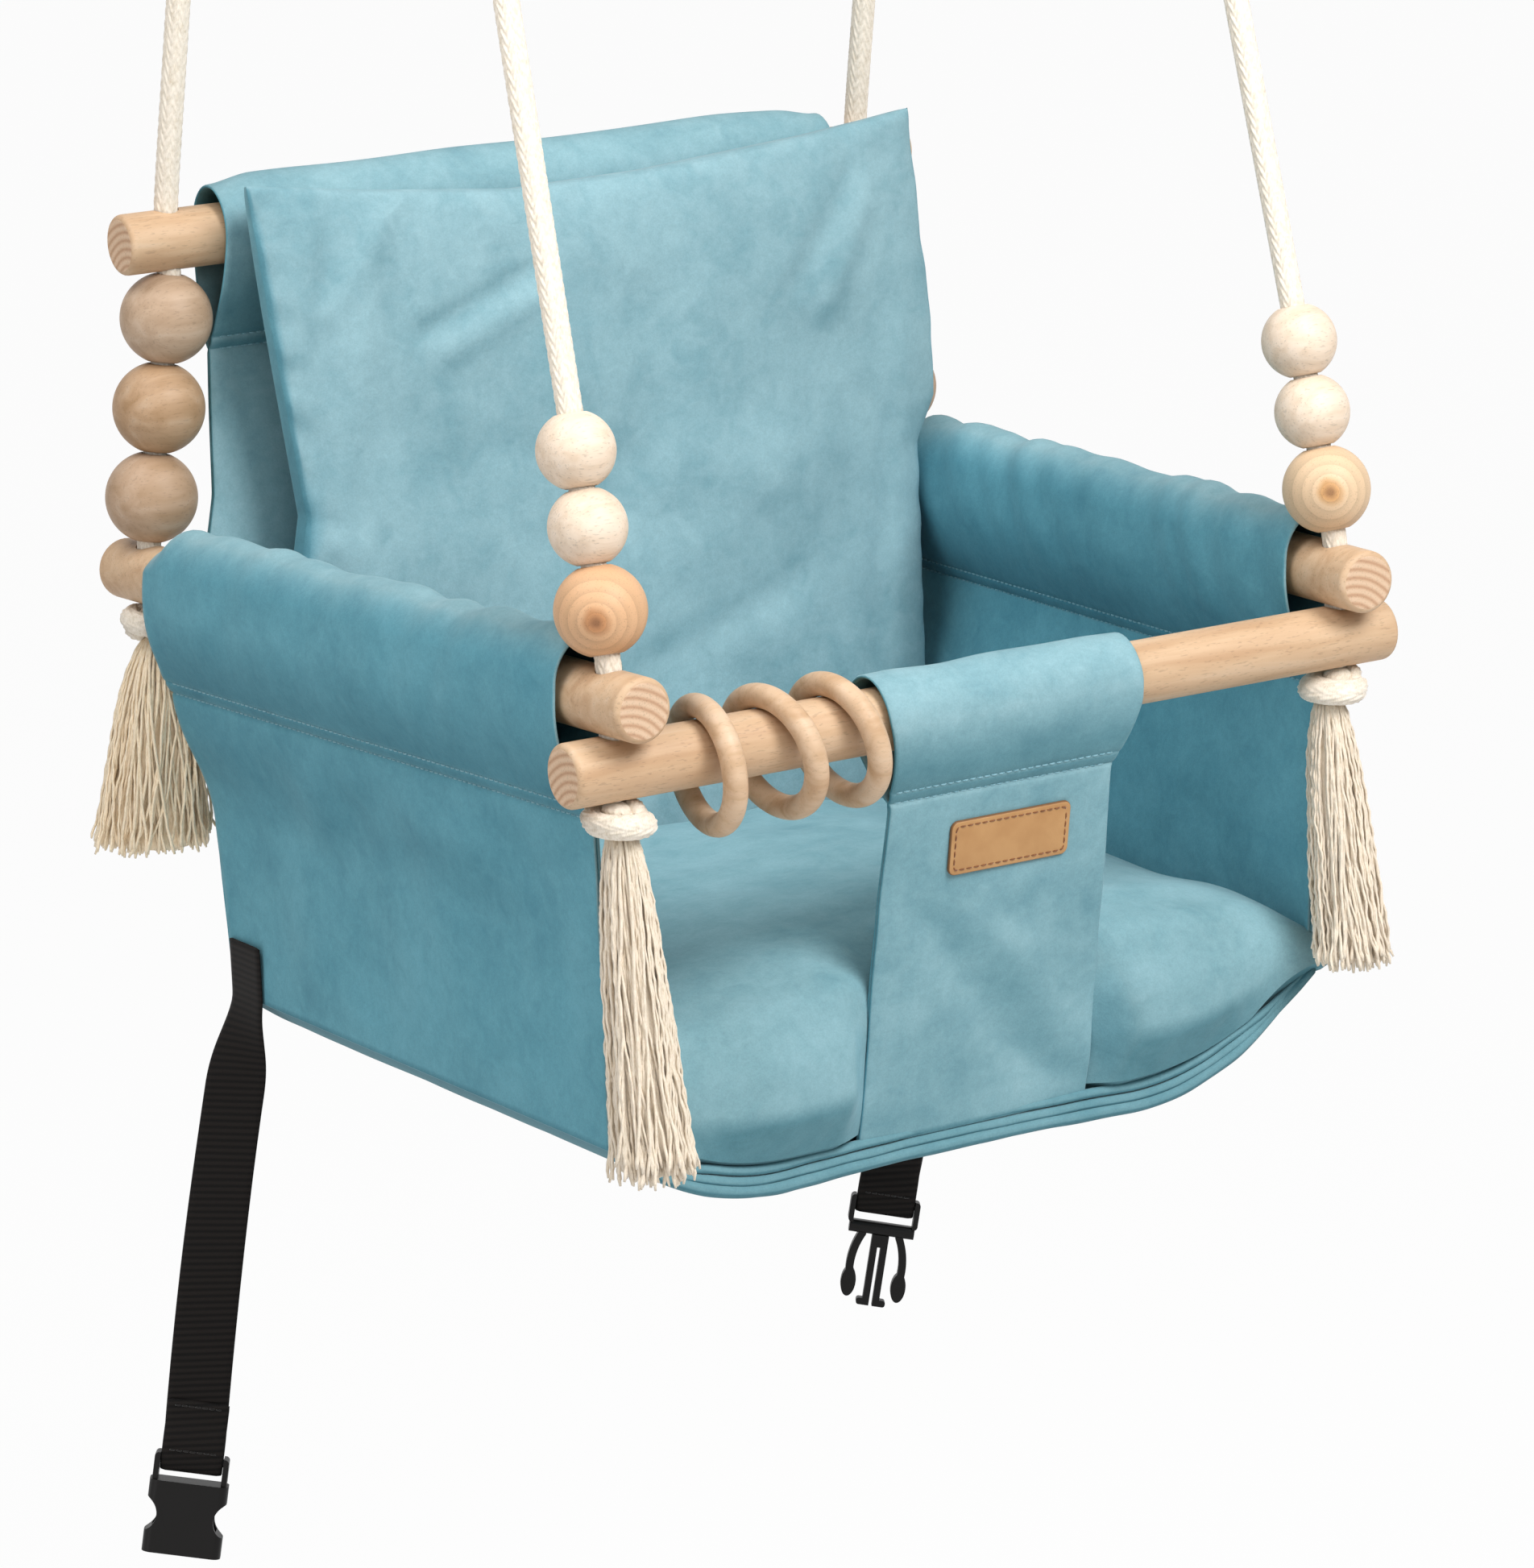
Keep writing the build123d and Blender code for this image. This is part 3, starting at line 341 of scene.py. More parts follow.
def sanded_beech(name, light, dark, along, grain, flecks):
    """Steamed beech or maple, sanded and left uncoated: short dark pore flecks along the grain
    and faint broad growth bands. Along is the grain's direction in the scene, as turn angles,
    grain the width of its bands beside beech's, and flecks how strongly the pores show."""
    material, tree, shader = new_material(name, roughness=0.5, IOR=1.5, Specular_IOR_Level=0.35)
    stretched = place_in(tree, scale=(0.09, 1, 1), turn=along)
    bands = noise_at(tree, stretched, BEECH_BAND * grain, detail=3, roughness=0.55, distortion=0.4)
    base = stops(tree, bands, (0.32, dark), (0.56, light), (0.75, mix_hex(light, "#FFFFFF", 0.12)))
    short = place_in(tree, scale=(0.22, 1, 1), turn=along)
    pores = noise_at(tree, short, BEECH_PORE, detail=1)
    marks = stops(tree, pores, (0.30, 0.72), (0.40, 1.0))
    tone = mixed(tree, flecks, base, mixed(tree, 1.0, base, marks, "MULTIPLY"))
    tree.links.new(tone, shader.inputs["Base Color"])
    bump(tree, shader, (pores, 0.12, 0.12))
    return material


def end_grain(name, light, dark, centre, pith):
    """Beech cut across the grain: the growth rings show as circles round a dark heart at the
    pith, whose direction from the bead's centre is given."""
    material, tree, shader = new_material(name, roughness=0.52, IOR=1.5, Specular_IOR_Level=0.35)
    turned = place_from(tree, centre, pith)
    wobble = noise_at(tree, turned, 9, detail=2)
    rings = add_node(
        tree, "ShaderNodeTexWave", {"Vector": turned}, wave_type="RINGS", rings_direction="Z",
        wave_profile="SAW", Scale=wave_scale(END_RING), Distortion=0.8, Detail=2.0)
    rings.inputs["Detail Scale"].default_value = 1.2
    parts = add_node(tree, "ShaderNodeSeparateXYZ", {"Vector": turned})
    flat = add_node(tree, "ShaderNodeCombineXYZ", {"X": parts.outputs["X"], "Y": parts.outputs["Y"]})
    reach = add_node(tree, "ShaderNodeVectorMath", {0: flat.outputs[0]}, operation="LENGTH").outputs["Value"]
    heart = weighted(tree, (reach, 1 / (HEART * MM)), (wobble, 0.6))
    tone = stops(tree, heart, (0.42, mix_hex(dark, WARM_DARK, 0.45)), (0.66, dark), (1.15, light))
    lines = stops(tree, rings.outputs["Color"], (0.0, 0.8), (0.6, 1.0))
    pores = noise_at(tree, turned, 0.6, detail=1)
    dots = stops(tree, pores, (0.3, 0.82), (0.4, 1.0))
    tone = mixed(tree, 0.8, tone, lines, "MULTIPLY")
    tree.links.new(mixed(tree, 1.0, tone, dots, "MULTIPLY"), shader.inputs["Base Color"])
    bump(tree, shader, (pores, 0.1, 0.1))
    return material


def wave_scale(period_mm):
    """Scale of a wave texture whose waves are a number of millimetres apart."""
    return 2 * math.pi / (20 * period_mm * MM)


def mix_hex(first, second, share):
    """An sRGB hex colour part of the way from one to another."""
    pairs = zip((first[i:i + 2] for i in (1, 3, 5)), (second[i:i + 2] for i in (1, 3, 5)))
    return "#" + "".join(f"{round(int(a, 16) + (int(b, 16) - int(a, 16)) * share):02X}" for a, b in pairs)


def combed_cotton(name, colour, shade, fibre=0.5):
    """Spun yarn, cotton unless its caller says otherwise: dull, with soft fibres that catch
    light. Shade is its tone between the fibres, which are fibre millimetres apart."""
    material, tree, shader = new_material(
        name, roughness=0.85, IOR=1.5, Specular_IOR_Level=0.15, Sheen_Weight=0.35, Sheen_Roughness=0.5)
    here = place_in(tree)
    tufts = noise_at(tree, here, COTTON_TUFT, detail=3)
    hairs = noise_at(tree, place_in(tree, scale=(1, 1, 0.3)), fibre, detail=2)
    tone = stops(tree, weighted(tree, (tufts, 0.5), (hairs, 0.5)), (0.32, shade), (0.55, colour))
    tree.links.new(tone, shader.inputs["Base Color"])
    bump(tree, shader, (tufts, 0.15, 0.3), (hairs, 0.45, 0.18))
    return material


# ------------------------------------------------------------------ meshes

def add_piece(name, verts, faces, material, body, replaced=()):
    """Makes a smooth-shaded mesh from seat-frame millimetres and rides it on a body."""
    mesh = bpy.data.meshes.new(name)
    mesh.from_pydata(scene_point(verts).tolist(), [], [tuple(int(i) for i in f) for f in faces])
    mesh.validate()
    mesh.shade_smooth()
    piece = bpy.data.objects.new(name, mesh)
    bpy.context.scene.collection.objects.link(piece)
    mesh.materials.append(material)
    if body:
        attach(piece, body)
    if replaced:
        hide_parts(*replaced)
    return piece


def grid_faces(rows, columns, wrap_rows=False, wrap_columns=False, start=0):
    """Quads of a grid of points that is stored row by row."""
    row = np.arange(rows if wrap_rows else rows - 1)
    column = np.arange(columns if wrap_columns else columns - 1)
    row, column = np.meshgrid(row, column, indexing="ij")
    next_row, next_column = (row + 1) % rows, (column + 1) % columns
    corners = (row * columns + column, row * columns + next_column,
               next_row * columns + next_column, next_row * columns + column)
    return np.stack(corners, -1).reshape(-1, 4) + start


def unit(vectors):
    """Vectors scaled to length 1."""
    return vectors / np.maximum(np.linalg.norm(vectors, axis=-1, keepdims=True), 1e-9)


def grid_normals(points):
    """Unit normals of a grid of points."""
    along = np.gradient(points, axis=0)
    across = np.gradient(points, axis=1)
    return unit(np.cross(along, across))


def cloth_mesh(points, thickness):
    """Closed cloth of a thickness round a grid of middle points, with rounded rims."""
    rows, columns = points.shape[:2]
    normal = grid_normals(points)
    half = np.broadcast_to(np.asarray(thickness, float) / 2, (rows, columns))[..., None]
    front = (points + normal * half).reshape(-1, 3)
    back = (points - normal * half).reshape(-1, 3)
    index = np.arange(rows * columns).reshape(rows, columns)
    rim = np.concatenate([index[0, :-1], index[:-1, -1], index[-1, :0:-1], index[:0:-1, 0]])
    inner_row, inner_column = (np.clip(np.arange(count), 1, count - 2) for count in (rows, columns))
    inner = inner_row[:, None] * columns + inner_column[None]
    flat = points.reshape(-1, 3)
    outward = unit(flat[rim] - flat[inner.reshape(-1)[rim]])
    edge = flat[rim] + outward * half.reshape(-1, 1)[rim]
    count = len(flat)
    faces = [grid_faces(rows, columns), grid_faces(rows, columns, start=count)[:, ::-1]]
    following = np.roll(np.arange(len(rim)), -1)
    edge_index = 2 * count + np.arange(len(rim))
    faces.append(np.stack([rim, edge_index, edge_index[following], rim[following]], -1))
    faces.append(np.stack([edge_index, count + rim, count + rim[following], edge_index[following]], -1))
    return np.concatenate([front, back, edge]), np.concatenate(faces)


def resampled(line, spacing):
    """Points at an even spacing along a polyline."""
    line = np.asarray(line, float)
    reach = along_line(line)
    count = max(int(round(reach[-1] / spacing)), 2) + 1
    at = np.linspace(0, reach[-1], count)
    return np.stack([np.interp(at, reach, line[:, i]) for i in range(line.shape[1])], -1)


def softened(line, rounds):
    """Rounds the corners of an evenly spaced line and keeps its ends."""
    line = np.array(line, float)
    for _ in range(rounds):
        line[1:-1] = (line[:-2] + 2 * line[1:-1] + line[2:]) / 4
    return line


def along_line(line):
    """Distance along a polyline at each of its points."""
    return np.concatenate([[0], np.cumsum(np.linalg.norm(np.diff(line, axis=0), axis=1))])


def smooth_step(low, high, value):
    """0 at low, 1 at high and smooth between them; low may be the larger one."""
    share = np.clip((np.asarray(value, float) - low) / (high - low), 0, 1)
    return share * share * (3 - 2 * share)


def soft_noise(points, millimetres, seed):
    """Smooth noise from -1 to 1 at points, with patches of about the given size."""
    flat = np.asarray(points, float).reshape(-1, 3) / millimetres + seed * 17.31
    values = np.array([noise.noise(Vector(p)) for p in flat])
    return values.reshape(np.asarray(points).shape[:-1])


def waves(points, *layers):
    """Sum of soft waves, each given by its size, its height and a seed."""
    return sum(soft_noise(points, size, seed) * height for size, height, seed in layers)


def level(x, z, depth=0.0):
    """Points of a grid laid flat at one depth, for waves that both plies share."""
    return np.stack([x, z, np.full_like(z, depth)], -1)


def crease(across, along, centre, half_length, width):
    """Height of one soft crease: 1 on its middle line, fading across it and at its ends."""
    ridge = np.exp(-((across - centre) / width) ** 2)
    return ridge * np.exp(-np.clip(np.abs(along) - half_length, 0, None) ** 2 / (2 * width ** 2))


# ------------------------------------------------------------------ stage

VIEW_YAW, VIEW_PITCH, VIEW_ROLL = -32.10, 13.41, -2.32
VIEW_DISTANCE = 2522.7
VIEW_CENTRE = (0.0, 150.0, 0.0)
VIEW_SHIFT = (-3.96, -58.52)        # sideways and upwards, across the view
SENSOR = 36.0                       # over the frame's long side, millimetres
LENS = 143.9445                     # focal length, millimetres
FLOOR_DROP = 0.30                   # floor below the swing's lowest point, metres
FLOOR_REACH = 12.0
FLOOR_GLOW = 0.96                   # how white the eye and mirrors see the floor
SKY_LIGHT = 0.15
LAMPS_AIM = (0, 150, -20)
LAMPS = {                           # place in the seat's frame, diameter in metres, watts
    "key_softbox": ((350, -1500, 1600), 1.2, 53),
    "fill_softbox": ((-1900, -400, 150), 1.2, 6),
    "front_softbox": ((-700, -2000, 1200), 1.2, 10),
    "top_softbox": ((-900, 100, 1500), 1.0, 15),
}


class SWING_OT_stage(bpy.types.Operator):
    """Makes the camera, the lamps, the pale floor and the sky"""

    bl_idname = "swing.stage"
    bl_label = "Stage"

    def execute(self, context):
        context.scene.view_settings.view_transform = "Standard"
        place_camera(context.scene)
        lay_floor(context.scene)
        hang_lamps(context.scene)
        light_sky(context.scene)
        return {"FINISHED"}


def place_camera(scene):
    """A long lens that looks down at the swing from its front left."""
    yaw, pitch, roll = (math.radians(v) for v in (VIEW_YAW, VIEW_PITCH, VIEW_ROLL))
    back = Vector((math.sin(yaw) * math.cos(pitch), -math.cos(yaw) * math.cos(pitch), math.sin(pitch)))
    right = (-back).cross(Vector((0, 0, 1))).normalized()
    up = right.cross(-back)
    right, up = math.cos(roll) * right + math.sin(roll) * up, -math.sin(roll) * right + math.cos(roll) * up
    aim = Vector(VIEW_CENTRE) + right * VIEW_SHIFT[0] + up * VIEW_SHIFT[1]
    camera = bpy.data.objects.new("view", bpy.data.cameras.new("view"))
    camera.location = scene_point(aim + back * VIEW_DISTANCE)
    camera.rotation_mode = "QUATERNION"
    camera.rotation_quaternion = Matrix([right, up, back]).transposed().to_quaternion()
    camera.data.lens = LENS
    camera.data.sensor_width = SENSOR
    scene.collection.objects.link(camera)
    scene.camera = camera


def lay_floor(scene):
    """A wide floor below the swing."""
    low = min(CAD_BOUNDS[0].z, CAD_BOUNDS[1].z) - FLOOR_DROP
    mesh = bpy.data.meshes.new("pale_floor")
    corners = [(x * FLOOR_REACH, y * FLOOR_REACH, low) for x, y in ((-1, -1), (1, -1), (1, 1), (-1, 1))]
    mesh.from_pydata(corners, [], [(0, 1, 2, 3)])
    mesh.materials.append(white_floor())
    floor = bpy.data.objects.new("pale_floor", mesh)
    scene.collection.objects.link(floor)


def hang_lamps(scene):
    """Round softboxes that face the seat."""
    for name, (place, size, power) in LAMPS.items():
        data = bpy.data.lights.new(name, "AREA")
        data.shape = "DISK"
        data.size = size
        data.energy = power
        lamp = bpy.data.objects.new(name, data)
        lamp.location = scene_point(place)
        lamp.rotation_mode = "QUATERNION"
        toward = Vector(scene_point(LAMPS_AIM)) - lamp.location
        lamp.rotation_quaternion = toward.to_track_quat("-Z", "Y")
        scene.collection.objects.link(lamp)


def light_sky(scene):
    """A white sky that adds only a little even light."""
    scene.world = bpy.data.worlds.new("sky")
    scene.world.use_nodes = True
    tree = scene.world.node_tree
    tree.nodes.clear()
    light = add_node(tree, "ShaderNodeBackground", Color=(1, 1, 1, 1), Strength=SKY_LIGHT)
    plain = add_node(tree, "ShaderNodeBackground", Color=(1, 1, 1, 1), Strength=1.0)
    mix = add_node(tree, "ShaderNodeMixShader",
                   {0: mirrored_rays(tree), 1: light.outputs[0], 2: plain.outputs[0]})
    add_node(tree, "ShaderNodeOutputWorld", {"Surface": mix.outputs[0]})


def mirrored_rays(tree):
    """1 for rays from the eye and their mirror and glass paths, and 0 for light on the object."""
    path = add_node(tree, "ShaderNodeLightPath")
    seen = maths(tree, "MAXIMUM", path.outputs["Is Camera Ray"], path.outputs["Is Glossy Ray"])
    return maths(tree, "MAXIMUM", seen, path.outputs["Is Transmission Ray"])


def white_floor():
    """Matt white board. The eye sees it white, and it keeps the swing's soft shadow."""
    material, tree, shader = new_material("matt_white_board", roughness=0.9, Specular_IOR_Level=0.1)
    shader.inputs["Base Color"].default_value = linear("#F4F4F4")
    glow = add_node(tree, "ShaderNodeEmission", Color=(1, 1, 1, 1), Strength=1.0)
    strength = maths(tree, "MULTIPLY", mirrored_rays(tree), FLOOR_GLOW)
    mix = add_node(tree, "ShaderNodeMixShader", {0: strength, 1: shader.outputs[0], 2: glow.outputs[0]})
    tree.links.new(mix.outputs[0], tree.nodes["Material Output"].inputs["Surface"])
    return material


# ------------------------------------------------------------------ ropes

ROPE_ENDS = [(end, name) for end in ("front", "rear") for name in SIDES]
# Each rope's route from its stopper knot up to its eye knot, for the right side.
ROPE_ROUTE = {
    "front": (
        (168.0, 0.0, -12.8), (168.0, 0.0, 27.0), (168.0, 0.0, 39.5), (166.9, 13.8, 94.8), (162.6, 68.7, 314.9)),
    "rear": (
        (185.585, 335.54, 12.2), (185.585, 335.54, 30.0), (185.585, 335.54, 39.5), (176.8, 335.77, 93.3),
        (168.0, 336.0, 147.0), (168.0, 336.0, 158.0), (168.0, 336.0, 168.0), (168.0, 336.0, 176.0),
        (166.9, 323.2, 231.5), (165.31, 304.02, 314.6),
    ),
}
BRAID_COLUMNS = 10          # plaited columns round the rope
BRAID_RELIEF = 0.75         # how far a stitch stands above the grooves
BRAID_FOOT = 0.62           # share of the relief that lies inside the rope's radius
BRAID_SLANT = 7.03          # rise of a stitch along the rope across its column
BRAID_YARNS = 4             # yarns side by side in one stitch
ROPE_FACETS = 64
KNOT_STEP = 0.6             # spacing of the points along a knot's rope
KNOT_START = {"front": 0.6, "rear": 2.2}            # side on which the stopper knot's turn starts
EYE_REACH = 62.0            # from the foot of the eye knot to where the hook bears
EYE_HALF_W = 15.0
EYE_KNOT_D = 27.0
EYE_KNOT_H = 30.0
EYE_TURNS = 3.1             # turns of the tail round the eye's two legs


def spline_points(points):
    """Points in metres along the smooth curve of a route's control points."""
    curve = bpy.data.curves.new("route", "CURVE")
    curve.dimensions = "3D"
    curve.resolution_u = 16
    spline = curve.splines.new("NURBS")
    spline.points.add(len(points) - 1)
    for control, point in zip(spline.points, points):
        control.co = (*point, 1)
    spline.order_u = 3
    spline.use_endpoint_u = True
    holder = bpy.data.objects.new("route", curve)
    line = bpy.data.meshes.new_from_object(holder)
    found = np.array([v.co for v in line.vertices])
    bpy.data.objects.remove(holder)
    bpy.data.curves.remove(curve)
    bpy.data.meshes.remove(line)
    return found


def moving_frames(line):
    """Two directions across a line at each of its points, carried along without twist."""
    ahead = np.roll(line, -1, 0) - np.roll(line, 1, 0)
    ahead[0], ahead[-1] = line[1] - line[0], line[-1] - line[-2]
    ahead = unit(ahead)
    first = np.cross(ahead[0], (0.0, 1.0, 0.0))
    if np.linalg.norm(first) < 0.2:
        first = np.cross(ahead[0], (1.0, 0.0, 0.0))
    sideways = [first / np.linalg.norm(first)]
    for direction in ahead[1:]:
        carried = sideways[-1] - direction * np.dot(sideways[-1], direction)
        sideways.append(carried / np.linalg.norm(carried))
    sideways = np.array(sideways)
    return sideways, np.cross(ahead, sideways)


def braid_height(along, turn, pitch):
    """Relief of a plaited rope, from 0 in the grooves to 1 on a stitch, with its yarns."""
    column = turn / (2 * math.pi) * BRAID_COLUMNS
    index = np.floor(column)
    across = column - index - 0.5
    even = index % 2 == 0
    slant = np.where(even, 1.0, -1.0) * BRAID_SLANT / pitch
    phase = along / pitch + across * slant + np.where(even, 0.0, 0.5)
    stitch = 0.5 + 0.5 * np.cos(2 * math.pi * phase)
    crown = np.clip(1 - (2 * across) ** 2, 0, 1) ** 0.5
    yarns = 0.5 + 0.5 * np.cos(2 * math.pi * phase * BRAID_YARNS)
    return (0.25 + 0.75 * stitch ** 0.7) * (0.35 + 0.65 * crown) + 0.06 * yarns


def tube(line, reach, facets):
    """Tube along a line, closed at its ends. Reach is its radius, one for each of its points."""
    sideways, across = moving_frames(line)
    turn = np.linspace(0, 2 * math.pi, facets, endpoint=False)
    ring = ((np.cos(turn) * reach)[..., None] * sideways[:, None]
            + (np.sin(turn) * reach)[..., None] * across[:, None])
    verts = (line[:, None] + ring).reshape(-1, 3)
    faces = [tuple(f) for f in grid_faces(len(line), facets, wrap_columns=True)[:, ::-1]]
    faces.append(tuple(range(facets)))
    faces.append(tuple(len(line) * facets - 1 - i for i in range(facets)))
    return verts, faces


def braided_tube(line, radius, step=0.5):
    """Plaited rope of a radius along a line, with rounded ends."""
    line = resampled(line, step)
    along = along_line(line)
    turn = np.linspace(0, 2 * math.pi, ROPE_FACETS, endpoint=False)
    grid_along, grid_turn = np.meshgrid(along, turn, indexing="ij")
    relief = braid_height(grid_along, grid_turn, sizes().braid_pitch)
    reach = radius - BRAID_RELIEF * BRAID_FOOT + BRAID_RELIEF * relief
    from_end = np.minimum(grid_along, along[-1] - grid_along)
    reach = reach * np.sqrt(np.clip(1 - (1 - np.clip(from_end / (radius * 0.6), 0, 1)) ** 2, 0.02, 1))
    return tube(line, reach, ROPE_FACETS)


def joined(*parts):
    """Vertices and faces of several meshes as one."""
    verts, faces, start = [], [], 0
    for part_verts, part_faces in parts:
        verts.append(np.asarray(part_verts, float))
        faces.extend(tuple(int(i) + start for i in f) for f in part_faces)
        start += len(part_verts)
    return np.concatenate(verts), faces


def mirrored(point, side):
    """A point of the right side, or its twin on the left for side -1."""
    return (side * point[0], point[1], point[2])


class SWING_OT_ropes(bpy.types.Operator):
    """Makes the four braided ropes from their stopper knots up to their eye knots"""

    bl_idname = "swing.ropes"
    bl_label = "Ropes"

    def execute(self, context):
        cotton = combed_cotton("braided_cotton", colours().rope, "#D8CBB6")
        for end, name in ROPE_ENDS:
            route = [mirrored(p, SIDES[name]) for p in ROPE_ROUTE[end]]
            path = spline_points([tuple(scene_point(p)) for p in route])
            verts, faces = braided_tube((path - ORIGIN) / MM, sizes().rope / 2)
            rope = add_piece(f"{end}_{name}_braided_rope", verts, faces, cotton, SEAT_BODY,
                             (f"{end}_{name}_rope",))
            knot = stopper_knot(end, name, cotton)
            eye = rope_eye(end, name, cotton)
        return {"FINISHED"}


def stopper_knot(end, name, cotton):
    """An overhand knot pulled tight: one slanting turn of rope round the rope's own core."""
    low, high = seat_box(f"{end}_{name}_stopper_knot")
    centre, radius = (low + high) / 2, sizes().rope / 2
    turn_r = (high[0] - low[0]) / 2 - radius
    slack = (high[2] - low[2]) / 2 - radius
    angle = np.linspace(-0.15, 1.12, 60) * 2 * math.pi + KNOT_START[end]
    share = np.linspace(1, -1, 60)
    wrap = centre + np.stack([turn_r * np.cos(angle), turn_r * np.sin(angle), slack * share], -1)
    tucked = np.linspace(0.45, 1, 6)[:, None]
    wrap[:6, :2] = centre[:2] + (wrap[:6, :2] - centre[:2]) * tucked
    wrap[-6:, :2] = centre[:2] + (wrap[-6:, :2] - centre[:2]) * tucked[::-1]
    core = np.linspace(centre + (0, 0, high[2] - centre[2]), centre - (0, 0, centre[2] - low[2]), 12)
    verts, faces = joined(braided_tube(wrap, radius, KNOT_STEP),
                          braided_tube(core, radius * 1.15, KNOT_STEP))
    verts[:, 2] = np.clip(verts[:, 2], low[2] - 0.5, high[2])
    verts[:, 0] += TASSEL_SHIFT[end, name] * 0.8 * smooth_step(high[2], low[2] + 4, verts[:, 2])
    return add_piece(f"{end}_{name}_overhand_knot", verts, faces, cotton, SEAT_BODY,
                     (f"{end}_{name}_stopper_knot",))


def rope_eye(end, name, cotton):
    """The eye at the rope's top: a bight of rope, wrapped below with three turns of its tail."""
    mount = next(m for m in frame["record"]["mounts"] if m["name"] == f"{end}_{name}_eye")
    bearing = (np.array(mount["pos_m"]) - ORIGIN) / MM
    up = unit(np.array(mount["axis"], float))
    across = unit(np.array((1.0, 0, 0)) - up * up[0])
    radius = sizes().rope / 2
    # the bight, with its foot at the origin: up one leg, which joins the rope, over and down
    leg_x, leg_top = radius * 0.9, EYE_KNOT_H - 3
    leg = np.array([(leg_x, 0, 7), (leg_x, 0, leg_top), (EYE_HALF_W * 0.8, 0, leg_top + 9)])
    angle = np.linspace(0, math.pi, 24)
    arc_z = EYE_REACH + radius - EYE_HALF_W
    arc = np.stack([EYE_HALF_W * np.cos(angle), np.zeros(24), arc_z + EYE_HALF_W * np.sin(angle)], -1)
    bight = np.concatenate([[(0, 0, -5), (0, 0, 0)], leg, arc, leg[::-1] * (-1, 1, 1)])
    bight = softened(resampled(bight, 1.5), 6)
    turns = np.linspace(0, 1, 110)
    coil_r = EYE_KNOT_D / 2 - radius
    angle = turns * EYE_TURNS * 2 * math.pi
    coil = np.stack([coil_r * np.cos(angle), coil_r * np.sin(angle),
                     radius + turns * (EYE_KNOT_H - 2 * radius)], -1)
    verts, faces = joined(braided_tube(bight, radius, KNOT_STEP), braided_tube(coil, radius, KNOT_STEP))
    foot = bearing - up * EYE_REACH
    verts = foot + verts[:, :1] * across + verts[:, 1:2] * np.cross(up, across) + verts[:, 2:] * up
    return add_piece(f"{end}_{name}_hanging_eye", verts, faces, cotton, SEAT_BODY,
                     (f"{end}_{name}_rope_eye",))


# ------------------------------------------------------------------ tassels

TASSEL_STRANDS = {"front": 280, "rear": 420}
TASSEL_TOP_R = 5.5          # gathered top below the knot
TASSEL_END_R = {"front": 15.5, "rear": 25.5}
TASSEL_SWAY = {"front": -13.0, "rear": 16.0}        # how far the loose end hangs off plumb, along Y
TASSEL_SHIFT = {("front", "left"): 2.0, ("front", "right"): -4.5,
                ("rear", "left"): 1.5, ("rear", "right"): 0.0}
TASSEL_LIVELY = {"front": 1.3, "rear": 0.7}         # how wavy its strands are
TASSEL_SEED = 40
TASSEL_CORE = 0.78          # strands that don't show are one plain core, this share of the width
STRAND_SIDES = 5
STRAND_STEPS = 46
STRAND_FRAY = (1.15, 1.25, 0.7)                     # widths of the last points of a strand


def tassel_opening(end, share):
    """Radius of a tassel from its gathered top, share 0, down to its loose end, share 1."""
    return TASSEL_TOP_R + (TASSEL_END_R[end] - TASSEL_TOP_R) * (0.42 * (1 - np.exp(-share * 7)) + 0.58 * share)


def tassel_strand(rng, end, top, length):
    """Centre line and thickness of one hanging strand, from the gathered top to the loose end."""
    tau = 6.3
    lively = TASSEL_LIVELY[end]
    angle, spread = rng.uniform(0, 2 * math.pi), math.sqrt(rng.uniform(0.02, 1.0))
    own_length = length * rng.uniform(0.93, 1.0)
    share = np.linspace(0, 1, STRAND_STEPS)
    turn = angle + rng.uniform(-0.9, 0.9) * share
    slow = np.sin(share * rng.uniform(7, 15) + rng.uniform(0, tau)) * rng.uniform(0.2, 0.8) * share
    crimp = np.sin(share * rng.uniform(60, 95) + rng.uniform(0, tau)) * rng.uniform(0.15, 0.42)
    across = np.sin(share * rng.uniform(9, 24) + rng.uniform(0, tau)) * rng.uniform(0.2, 0.7)
    across = lively * across * (0.3 + share)
    reach = tassel_opening(end, share) * spread + lively * (slow + crimp)
    x = top[0] + np.cos(turn) * reach - np.sin(turn) * across
    y = top[1] + np.sin(turn) * reach + np.cos(turn) * across + TASSEL_SWAY[end] * share ** 1.3
    flick = rng.uniform(-1, 1, 2) * 2.2 * np.clip(share - 0.88, 0, 1)[:, None] / 0.12
    line = np.stack([x + flick[:, 0], y + flick[:, 1], top[2] - own_length * share], -1)
    return line, sizes().yarn * rng.uniform(0.82, 1.1)


def plain_tube(line, radius, sides):
    """Thin tube with closed ends along a line; its radius may vary."""
    return tube(line, np.broadcast_to(np.asarray(radius, float), (len(line),))[:, None], sides)


